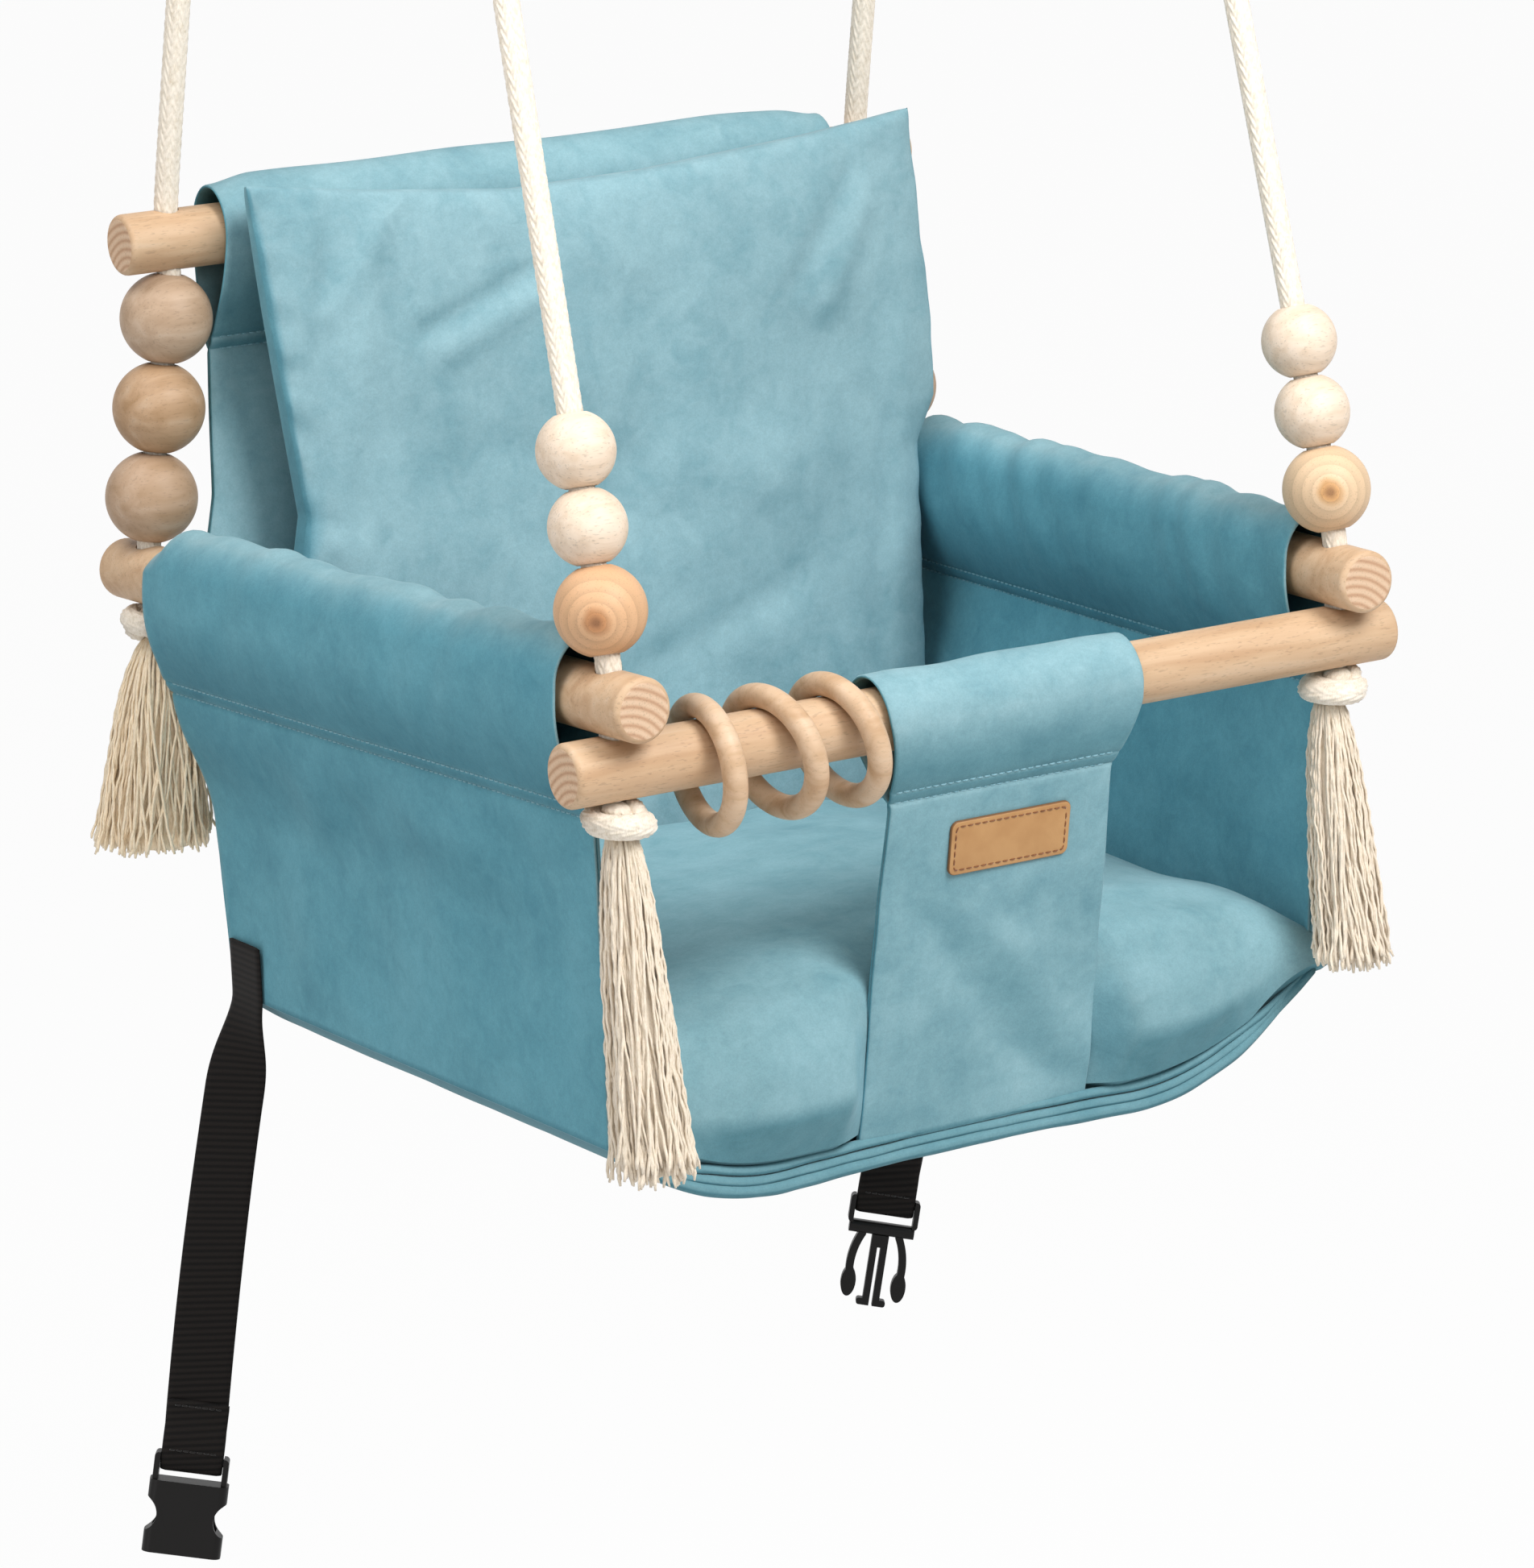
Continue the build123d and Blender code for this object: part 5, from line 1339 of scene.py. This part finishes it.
def flap_cover(velvet, sewing):
    """Crotch flap: folded over the front dowel, topstitched, two plies down to the hem band."""
    u, w, rows, at = folded_section(tunnel_section(**FLAP_TUNNEL), FLAP_FOOT_Z)
    share = np.linspace(-1, 1, 49)
    share = np.concatenate([[-1, -0.975], share[1:-1], [0.975, 1]])
    share, z = np.meshgrid(share, w, indexing="ij")
    grid_u = np.broadcast_to(u, share.shape)
    x = FLAP_X + share * np.where(share < 0, profile_at(z, FLAP_LEFT), profile_at(z, FLAP_RIGHT))
    plain = level(x, z)
    lower = smooth_step(FLAP_SEAM_Z - 2, FLAP_SEAM_Z - 40, z)
    ripple = waves(plain, (60, 1.8, 41), (24, 0.6, 43)) * lower
    # two long soft folds run up from the right foot
    slope = (x - FLAP_X - 20) * 0.8 + (z + 150) * 0.6
    ripple = ripple + lower * 1.6 * crease(slope, z + 120, 0, 30, 9)
    ripple = ripple - lower * 1.2 * crease(slope, z + 125, 20, 26, 8)
    under_patch = np.exp(-((x - FLAP_X - PATCH["shift"]) / 34) ** 4 - ((z - PATCH["z"]) / 17) ** 4)
    ripple = ripple * (1 - under_patch) * smooth_step(FLAP_FOOT_Z, FLAP_FOOT_Z + 16, z)
    upper = smooth_step(FLAP_SEAM_Z, FLAP_SEAM_Z + 14, z)
    swell = soft_noise(plain * (1, 0.4, 1), 30, 47) * 1.3 * upper
    ear = 1.4 * upper * smooth_step(0.75, 1.0, np.abs(share)) * smooth_step(16, 0, z)
    dent = pressed_seam(at, rows, FLAP_DENT) * np.sign(grid_u)
    # section offsets point to the front on the outer ply
    y = np.where(z < FLAP_SEAM_Z, flap_y(z), 0.0) - grid_u * (1 + (swell + ear) / 16) + dent + ripple
    points = np.stack([x, y, z + np.clip(z, 0, None) / 17 * swell], -1)
    cloth_piece("crotch_flap_cover", points, velvet, "crotch_flap")
    sewing.columns(points, rows)


def pillow(name, top, bottom, velvet, replaced, fill):
    """Closed cushion from two grids that share their rim, which is a sewn knife edge."""
    rows, columns = top.shape[:2]
    index = np.arange(rows * columns).reshape(rows, columns)
    under = index.copy()
    under[1:-1, 1:-1] = rows * columns + np.arange((rows - 2) * (columns - 2)).reshape(rows - 2, columns - 2)
    quads = np.stack([under[:-1, :-1], under[1:, :-1], under[1:, 1:], under[:-1, 1:]], -1).reshape(-1, 4)
    verts = np.concatenate([top.reshape(-1, 3), bottom[1:-1, 1:-1].reshape(-1, 3)])
    piece = add_piece(name, verts, np.concatenate([grid_faces(rows, columns), quads]), velvet, SEAT_BODY,
                      (replaced,))
    sharp = piece.data.attributes.new("sharp_edge", "BOOLEAN", "EDGE")
    rim = set(index[0]) | set(index[-1]) | set(index[:, 0]) | set(index[:, -1])
    flags = [e.vertices[0] in rim and e.vertices[1] in rim for e in piece.data.edges]
    sharp.data.foreach_set("value", flags)


def close_rim(ply, seam):
    """Brings a grid's four edges onto those of another."""
    ply[0], ply[-1], ply[:, 0], ply[:, -1] = seam[0], seam[-1], seam[:, 0], seam[:, -1]


def rounded(share, power):
    """1 in a cushion's middle, 0 at its edges; shares run from -1 to 1."""
    return np.clip(1 - np.abs(share) ** power, 0, 1) ** (1 / power)


def denser_edges(count, strength):
    """Shares from -1 to 1, closer together towards the ends."""
    even = np.linspace(-1, 1, count)
    return (1 - strength) * even + strength * np.sin(even * math.pi / 2)


# Creases of the back cushion: middle x and z, slant, half length, width and height. They lie at
# the upper left corner, across the upper left and right, down both edges and in the middle.
BACK_CREASES = (
    (-126, 110, 1.42, 60, 6, -3.2), (-112, 96, 1.35, 60, 8, 2.2), (-104, 152, 0.9, 26, 6, 2.2),
    (-52, 128, 0.35, 26, 5, -2.2), (-44, 119, 0.4, 24, 6, 1.8), (118, 140, 0.9, 26, 6, -2.4),
    (128, 128, 1.0, 22, 6, 2.0), (150, 20, 1.5, 70, 9, 2.2), (140, 0, 1.45, 50, 7, -2.4),
    (-118, -10, 1.5, 40, 8, 2.2), (60, -20, 0.35, 34, 9, -1.8), (-20, 60, -0.2, 30, 10, -1.4),
)
# Its outline: X of both sides by the share of its height from -1 to 1, and Z of the top by X
BACK_LEFT = {-1: -162, -0.55: -160, 0.0: -140, 0.2: -133, 0.7: -144, 1: -150}
BACK_RIGHT = {-1: 163, -0.5: 164, -0.1: 165.5, 0.17: 166.5, 0.27: 176, 0.5: 175.5, 0.75: 172.5, 1: 171}
BACK_TOP = {-150: 185, -120: 181, -90: 177, -25: 170.5, 37: 171.5, 118: 177.5, 150: 181, 171: 184}
BACK_BOTTOM_Z = -158.0
BACK_POINTS = 150
SEAT_HALF_W = 169.0
SEAT_POINTS = (171, 120)    # across and from the front to the rear
SEAT_RIM_Z = -134.0
SEAT_CROWN = 41.0           # height of the middle above the rim
SEAT_REAR_SEAM_Z = -138.0
SEAT_TIP = 7.5              # how far the right front tip stands out beyond the base


def back_cushion(velvet):
    """Loose-filled cushion that leans on the back panel. Its outline has soft pointed corners."""
    even = denser_edges(BACK_POINTS, 0.75)
    up, across = np.meshgrid(even, even, indexing="ij")
    left, right = profile_at(up, BACK_LEFT), profile_at(up, BACK_RIGHT)
    x = left + (right - left) * (across + 1) / 2
    z = BACK_BOTTOM_Z + (profile_at(x, BACK_TOP) - BACK_BOTTOM_Z) * (up + 1) / 2
    z = z + np.clip(sag_z(x, back_y(z), 4.0) - z, 0, None) * smooth_step(-60, -150, z)
    plain = level(x, z)
    seam = 289.0 + 10.0 * (z - BASE_Z) / (180 - BASE_Z)
    loft = rounded(across, 2.9) * rounded(up, 2.9)
    puff = 16.0 + soft_noise(plain, 110, 51) * 2.5
    wrinkle = waves(plain, (55, 3.4, 53), (27, 1.2, 55))
    for crease_x, crease_z, slant, reach, width, height in BACK_CREASES:
        along = (x - crease_x) * math.cos(slant) + (z - crease_z) * math.sin(slant)
        over = -(x - crease_x) * math.sin(slant) + (z - crease_z) * math.cos(slant)
        wrinkle = wrinkle + height * crease(over, along, 0, reach, width)
    near_rim = np.exp(-(1 - np.abs(up)) * 15) + np.exp(-(1 - np.abs(across)) * 15)
    pucker = soft_noise(plain, 13, 57) * near_rim * 1.6
    front = seam - loft * (puff + wrinkle) - pucker * (loft > 0)
    full = (rounded(across, 3.6) * rounded(up, 3.6)) ** 0.8
    behind = seam + full * (np.minimum(back_y(z), BACK_Y - 17.5) - 1.2 - seam)
    close_rim(front, seam)
    close_rim(behind, seam)
    plies = (np.stack([x, y, z], -1)[:, ::-1] for y in (front, behind))
    pillow("back_cushion_cover", *plies, velvet, "back_cushion", 0.6)


def seat_profile(x_share):
    """The seat cushion's top from its front seam to its rear, as Y and Z, at a share of its width."""
    x = x_share * SEAT_HALF_W
    away = abs(x - FLAP_X)
    pressed = float(smooth_step(70, 46, away))
    swell = math.exp(-((away - 98) / 46) ** 2)
    height = float(rounded(x_share, 2.3))
    seam_z = float(seat_seam(x))
    crown = SEAT_RIM_Z + SEAT_CROWN * height
    tip_y = 2.5 + 10 * (1 - abs(x_share) ** 3)
    nose_y = 9.0 - 8.0 * swell + 2 * (1 - height)
    free = [(tip_y + 6 * height, seam_z), (nose_y + 1, seam_z + (crown - seam_z) * 0.28),
            (nose_y + 2, seam_z + (crown - seam_z) * 0.55), (nose_y + 12, crown - 10 * height),
            (nose_y + 40, crown - 1.5 * height), (100, crown + 1.5 * height),
            (160, crown + 1 * height), (225, crown - 1), (276, crown - 4 * height)]
    held = [(flap_y(seam_z) + 2.6, seam_z), (flap_y(-150) + 2.6, -150), (flap_y(-125) + 2.6, -125),
            (flap_y(-108) + 3.5, -107), (44, crown - 1.0), (100, crown + 1.5),
            (160, crown + 1), (225, crown - 1), (276, crown - 4)]
    line = np.array(free) * (1 - pressed) + np.array(held) * pressed
    line = softened(resampled(line, 1.2), 22)
    at, found = np.linspace(0, 1, SEAT_POINTS[1]) ** 1.15, np.linspace(0, 1, len(line))
    return [np.interp(at, found, line[:, i]) for i in (0, 1)]


def seat_cushion(velvet):
    """Knife-edged cushion that lies in the sagging base. The flap presses in its front, and it
    swells out on either side of the flap."""
    across = denser_edges(SEAT_POINTS[0], 0.6)[:, None]
    back_share = np.linspace(0, 1, SEAT_POINTS[1])[None, :]
    y, z = np.moveaxis(np.array([seat_profile(share) for share in across[:, 0]]), 1, 0)
    x = across * SEAT_HALF_W + 0 * y
    # rear end closes down onto its own seam
    drop = smooth_step(0.93, 1.0, back_share)
    z = z * (1 - drop) + SEAT_REAR_SEAM_Z * drop
    z = np.where(np.abs(across) >= 1, SEAT_RIM_Z - 3 * back_share, z)
    top = np.stack([x, y, z], -1)
    plain = top * (1, 1, 0.8)
    normal = grid_normals(top)
    to_side = 1 - np.abs(across)
    to_end = np.minimum(back_share / 0.10, (1 - back_share) / 0.06)
    fade = np.clip(np.minimum(np.minimum(to_side / 0.10, to_end), 1), 0, 1)
    pucker = np.sin(x * 0.4 + 4 * soft_noise(plain, 40, 67))
    pucker = pucker * np.exp(-((back_share - 0.03) / 0.03) ** 2) * 0.6
    wrinkle = waves(plain, (60, 3.4, 61), (26, 1.3, 63))
    top = top - normal * ((wrinkle + pucker) * fade)[..., None]
    bottom = np.stack([x, y[:, :1] + (y[:, -1:] - y[:, :1]) * back_share, 0 * y], -1)
    rest = sag_z(bottom[..., 0], bottom[..., 1], 4.2)
    edge = smooth_step(0, 1, np.minimum(np.minimum(back_share, 1 - back_share) / 0.05, to_side / 0.06))
    seam_z = top[:, :1, 2] * (1 - back_share) + top[:, -1:, 2] * back_share
    bottom[..., 2] = np.maximum(seam_z * (1 - edge) + rest * edge, rest)
    right = smooth_step(0.35, 1.0, across)
    for ply in (top, bottom):
        tip = smooth_step(22.0, 6.0, ply[..., 1]) * smooth_step(0.8, 1.0, across)
        ply[..., 0] += SEAT_TIP * tip - drawn_in(ply[..., 1], PANEL_FOOT_Z) * right * (1 - tip)
        ply[..., 2] += 0.7 * drawn_up(ply[..., 1], PANEL_FOOT_Z) * right * (1 - tip)
    close_rim(bottom, top)
    pillow("seat_cushion_cover", top, bottom, velvet, "seat_cushion", 0.75)


def seat_seam(x):
    """Height of the seat cushion's front seam: low in the middle, raised at the corners."""
    low = float(sag_z(x, 20.0, 0)) + HEM_H + 3.5
    return min(low + (SEAT_RIM_Z - low) * smooth_step(0.80, 1.0, abs(x) / 167.0), SEAT_RIM_Z)


class SWING_OT_covers(bpy.types.Operator):
    """Sews the side panels, back panel, base and crotch flap, with their topstitching"""

    bl_idname = "swing.covers"
    bl_label = "Sewn covers"

    def execute(self, context):
        # the shell's velvet is a little darker than the back cushion's: painted shade
        velvet = crushed_velvet("crushed_velvet_shell", 0.08)
        thread = combed_cotton("tonal_polyester_thread", "#8DB9C5", "#5F929F", 0.3)
        sewing = Sewing()
        for name in SIDES:
            side_cover(name, velvet, sewing)
        back_cover(velvet, sewing)
        # the base's velvet is much darker: painted shade for the base and its hem, which lie in shade
        base_cover(crushed_velvet("crushed_velvet_base", 0.4), sewing)
        flap_cover(velvet, sewing)
        sewing.make("tonal_topstitching", thread)
        return {"FINISHED"}


class SWING_OT_cushions(bpy.types.Operator):
    """Makes the seat and back cushions"""

    bl_idname = "swing.cushions"
    bl_label = "Cushions"

    def execute(self, context):
        back_cushion(crushed_velvet("crushed_velvet_cushion"))
        # the seat cushion's velvet is darker than the back cushion's: painted shade
        seat_cushion(crushed_velvet("crushed_velvet_seat", 0.18))
        return {"FINISHED"}


# ------------------------------------------------------------------ straps, buckle and patch

STRAP_TWIST = 58.0          # degrees of twist from the fold down to the buckle
STRAP_LEAN = {"left": 11.5, "right": 13.0}          # degrees off plumb
STRAP_LENGTH = {"left": 195.0, "right": 153.0}      # fold to buckle bar
STRAP_BOW = 2.0
TAB_H = 24.0                # sewn tab above the fold
TAB_Y = 297.0
TURNED_UP = 24.0            # end of the webbing turned up above the buckle's bar
WEB_T = 1.6
WEB_GAP = 0.85              # half the distance between the middles of two layers
WEB_STITCHES_W = 21.0
BAR_LOOP_R = 2.9            # middle of the webbing round the buckle's bar
BAR_LOOP_H = 5.4            # it hangs slack below the bar
BAR_CLEAR = 6.0             # from the bar to where the layers part
PATCH = {"width": 56.0, "height": 22.5, "thick": 1.6, "z": -56.0, "corner": 3.2, "shift": 5.0}
PATCH_FRONT = 1.45          # back of the patch, from the middle of the flap
PATCH_STITCH_IN = 2.2       # from the patch's edge to its stitching
# Steps of the patch's edge: how far in and how high. The first three are its burnished side.
PATCH_STEPS = (
    (0.25, 0.0), (0.0, 0.25), (0.0, 1.0), (0.3, 1.45), (0.8, PATCH["thick"]),
    (PATCH_STITCH_IN, PATCH["thick"] - 0.12), (3.2, PATCH["thick"]),
)
PATCH_EDGE_STEPS = 3


def strap_place(name):
    """Fold point of a strap and its directions: across its face, along its width, and up."""
    low, high = seat_box(f"{name}_strap_tab")
    fold = np.array([(low[0] + high[0]) / 2, TAB_Y, low[2] - 0.8])
    lean = math.radians(STRAP_LEAN[name])
    face = np.array([math.cos(lean), 0, -math.sin(lean)])
    return fold, face, np.array([0, 1.0, 0]), np.array([math.sin(lean), 0, math.cos(lean)])


def ribbon(centres, across, width, thickness):
    """Closed woven band along centres; across are its width directions. Its selvedges are thin."""
    shares = np.linspace(-1, 1, 15)
    grid = centres[:, None] + across[:, None] * (shares * width / 2)[None, :, None]
    edge = 1 - 0.45 * smooth_step(0.86, 1.0, np.abs(shares))
    return cloth_mesh(grid, np.broadcast_to(thickness * edge, grid.shape[:2]))


def strap_web(name):
    """One band of webbing: its sewn tab, down with a twist, round the buckle's bar and back up.
    Returns its centres, its width directions, and the direction that its turned-up end faces."""
    fold, face, side, up = strap_place(name)
    length = STRAP_LENGTH[name]
    tab = fold + np.array([0, 0, 1.0]) * np.linspace(TAB_H, 1.5, 12)[:, None]
    reach = np.linspace(0, 1, 90)
    share = 0.75 * smooth_step(0.0, 0.2, reach) + 0.25 * smooth_step(0.2, 0.9, reach)
    turn = np.radians(STRAP_TWIST * share)[:, None]
    normal = face * np.cos(turn) + side * np.sin(turn)
    twisted = side * np.cos(turn) - face * np.sin(turn)
    offset = BAR_LOOP_R * smooth_step(0.9, 1.0, reach) * 0.9 + WEB_GAP * smooth_step(0.8, 0.9, reach)
    bow = STRAP_BOW * np.sin(reach * math.pi) * SIDES[name]
    hanging = (fold - up * ((length - BAR_CLEAR) * reach)[:, None] + face * bow[:, None]
               + normal * offset[:, None])
    last = normal[-1]
    around = np.linspace(0.5, math.pi - 0.5, 12)[:, None]
    loop = (fold - up * length + BAR_LOOP_R * last * np.cos(around) - BAR_LOOP_H * up * np.sin(around))
    rise = np.linspace(BAR_CLEAR, TURNED_UP, 12)[:, None]
    back = (fold - up * (length - rise)
            - last * (WEB_GAP + BAR_LOOP_R * 0.9 * smooth_step(18, BAR_CLEAR, rise)))
    across = np.concatenate([np.repeat(side[None], 12, 0), twisted, np.repeat(twisted[-1:], 24, 0)])
    return softened(np.concatenate([tab, hanging, loop, back]), 3), unit(across), -last


class SWING_OT_straps(bpy.types.Operator):
    """Makes the webbing straps with their stitched ends, and finishes the two buckle halves"""

    bl_idname = "swing.straps"
    bl_label = "Straps and buckle"

    def execute(self, context):
        webbing = ribbed_webbing("ribbed_nylon_webbing")
        thread = combed_cotton("black_nylon_thread", "#1D1A18", "#100E0D", 0.3)
        for name in SIDES:
            centres, across, front = strap_web(name)
            verts, faces = ribbon(centres, across, sizes().webbing, WEB_T)
            web = add_piece(f"{name}_webbing", verts, faces, webbing, None,
                            (f"{name}_strap", f"{name}_strap_tab"))
            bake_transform(web)
            # two rows of stitches hold the turned-up end
            half_w = WEB_STITCHES_W / 2
            parts = []
            for height in (5.0, TURNED_UP - 2.5):
                row = len(centres) - 1 - int(round((TURNED_UP - height) / 1.7))
                line = (centres[row] + across[row] * np.linspace(-half_w, half_w, 12)[:, None]
                        + front * (WEB_T / 2 + 0.05))
                parts += stitched(line, np.repeat(front[None], 12, 0), 2.2, 0.36)
            verts, faces = joined(*parts)
            add_piece(f"{name}_webbing_stitches", verts, faces, thread, f"{name}_strap", ())
        acetal = moulded_acetal("moulded_black_acetal")
        for node in ("buckle_socket", "buckle_plug"):
            half = frame["nodes"][node]
            half.data.materials.clear()
            half.data.materials.append(acetal)
        return {"FINISHED"}


def ribbed_webbing(name):
    """Nylon webbing, dyed black in the yarn: fine ribs run across it, with a dull sheen. The
    real ribs are finer than show."""
    material, tree, shader = new_material(name, roughness=0.7, Specular_IOR_Level=0.12, Sheen_Weight=0.04)
    here = place_in(tree)
    ribs = add_node(tree, "ShaderNodeTexWave", {"Vector": here}, wave_type="BANDS", bands_direction="Z",
                    Scale=wave_scale(WEBBING_RIB), Distortion=0.25, Detail=1.0)
    yarn = noise_at(tree, here, 0.6, detail=2)
    tone = stops(tree, ribs.outputs["Fac"], (0.1, "#0A0807"), (0.8, "#1B1715"))
    tree.links.new(tone, shader.inputs["Base Color"])
    bump(tree, shader, (ribs.outputs["Fac"], 0.5, 0.22), (yarn, 0.3, 0.1))
    return material


def moulded_acetal(name):
    """Black acetal, injection moulded, with a very fine spark-eroded texture."""
    material, tree, shader = new_material(name, roughness=0.42, Specular_IOR_Level=0.22)
    shader.inputs["Base Color"].default_value = linear("#0D0B0A")
    grain = noise_at(tree, place_in(tree), ACETAL_GRAIN, detail=1)
    bump(tree, shader, (grain, 0.12, 0.04))
    return material


def rounded_outline(half_w, half_h, radius):
    """Closed rounded rectangle as points, and their outward directions."""
    points, outward = [], []
    for corner, (sx, sy) in enumerate(((1, 1), (-1, 1), (-1, -1), (1, -1))):
        for angle in np.linspace(corner * math.pi / 2, (corner + 1) * math.pi / 2, 9):
            out = np.array([math.cos(angle), math.sin(angle)])
            points.append(np.array([sx * (half_w - radius), sy * (half_h - radius)]) + radius * out)
            outward.append(out)
    points, outward = np.array(points + points[:1]), np.array(outward + outward[:1])
    both = resampled(np.concatenate([points, outward], 1), 0.8)[:-1]
    return both[:, :2], unit(both[:, 2:])


class SWING_OT_patch(bpy.types.Operator):
    """Makes the blank leather patch with its burnished edge and saddle-stitched border"""

    bl_idname = "swing.patch"
    bl_label = "Leather patch"

    def execute(self, context):
        half_w, half_h = PATCH["width"] / 2, PATCH["height"] / 2
        outline, outward = rounded_outline(half_w, half_h, PATCH["corner"])
        count = len(outline)
        verts = np.concatenate([
            np.concatenate([outline - outward * inset, np.full((count, 1), height)], 1)
            for inset, height in PATCH_STEPS])
        faces = [tuple(f) for f in grid_faces(len(PATCH_STEPS), count, wrap_columns=True)]
        faces += [tuple(range(count))[::-1], tuple(range(len(verts) - count, len(verts)))]
        leather = tanned_leather("vegetable_tanned_leather", colours().leather)
        patch = add_piece("blank_leather_patch", patch_place(verts), faces, leather, SEAT_BODY,
                          ("leather_patch",))
        patch.data.materials.append(tanned_leather("burnished_leather_edge", "#7A5330"))
        for polygon in patch.data.polygons[:PATCH_EDGE_STEPS * count]:
            polygon.material_index = 1
        line, _ = rounded_outline(half_w - PATCH_STITCH_IN, half_h - PATCH_STITCH_IN, PATCH["corner"] - 1.5)
        line = np.concatenate([line, np.full((len(line), 1), PATCH["thick"] - 0.1)], 1)
        line = np.concatenate([line, line[:1]])
        verts, faces = joined(*stitched(
            patch_place(line), np.repeat(patch_front()[None], len(line), 0), 2.6, 0.34))
        thread = combed_cotton("brown_waxed_thread", "#8A5A38", "#5F3A22", 0.3)
        add_piece("patch_stitches", verts, faces, thread, SEAT_BODY, ())
        return {"FINISHED"}


def patch_front():
    """Direction out of the slanting flap."""
    slant = math.atan2(FLAP_FOOT_Y, FLAP_SEAM_Z - BASE_Z)
    return np.array([0, -math.cos(slant), -math.sin(slant)])


def patch_place(points):
    """Points on the patch as seat-frame points on the front of the flap."""
    front = patch_front()
    up = np.array([0, front[2], -front[1]])
    centre = np.array([FLAP_X + PATCH["shift"], float(flap_y(PATCH["z"])), PATCH["z"]])
    centre = centre + front * PATCH_FRONT
    points = np.asarray(points, float)
    return centre + points[:, :1] * np.array([1.0, 0, 0]) + points[:, 1:2] * up + points[:, 2:] * front


def tanned_leather(name, colour):
    """Vegetable tanned cowhide, lightly waxed: fine pores and cloudy tanning."""
    material, tree, shader = new_material(name, roughness=0.48, Specular_IOR_Level=0.4)
    here = place_in(tree)
    clouds = noise_at(tree, here, LEATHER_CLOUD, detail=3)
    pores = noise_at(tree, here, LEATHER_PORE, detail=2)
    tone = stops(tree, clouds, (0.35, mix_hex(colour, "#8A5A30", 0.22)), (0.6, colour))
    tree.links.new(tone, shader.inputs["Base Color"])
    bump(tree, shader, (pores, 0.3, 0.1))
    return material


# ------------------------------------------------------------------ panel and main

OPERATORS = [
    SWING_OT_stage, SWING_OT_covers, SWING_OT_cushions, SWING_OT_patch, SWING_OT_straps,
    SWING_OT_ropes, SWING_OT_tassels, SWING_OT_beads, SWING_OT_dowels, SWING_OT_rings,
]


class SWING_PT_panel(bpy.types.Panel):
    """Lists the pieces of the swing and their settings"""

    bl_idname = "SWING_PT_panel"
    bl_label = "Toddler bucket swing"
    bl_space_type = "VIEW_3D"
    bl_region_type = "UI"
    bl_category = "Swing"

    def draw(self, context):
        for settings in (sizes(), colours()):
            for name in settings.__annotations__:
                self.layout.prop(settings, name)
        for operator in OPERATORS:
            self.layout.operator(operator.bl_idname)


CLASSES = [SwingSizes, SwingColours, *OPERATORS, SWING_PT_panel]


def register():
    for made in CLASSES:
        bpy.utils.register_class(made)
    bpy.types.Scene.swing_sizes = bpy.props.PointerProperty(type=SwingSizes)
    bpy.types.Scene.swing_colours = bpy.props.PointerProperty(type=SwingColours)


def unregister():
    del bpy.types.Scene.swing_sizes
    del bpy.types.Scene.swing_colours
    for made in reversed(CLASSES):
        bpy.utils.unregister_class(made)


def main():
    register()
    for operator in OPERATORS:
        family, name = operator.bl_idname.split(".")
        getattr(getattr(bpy.ops, family), name)()


if __name__ == "__main__":
    main()
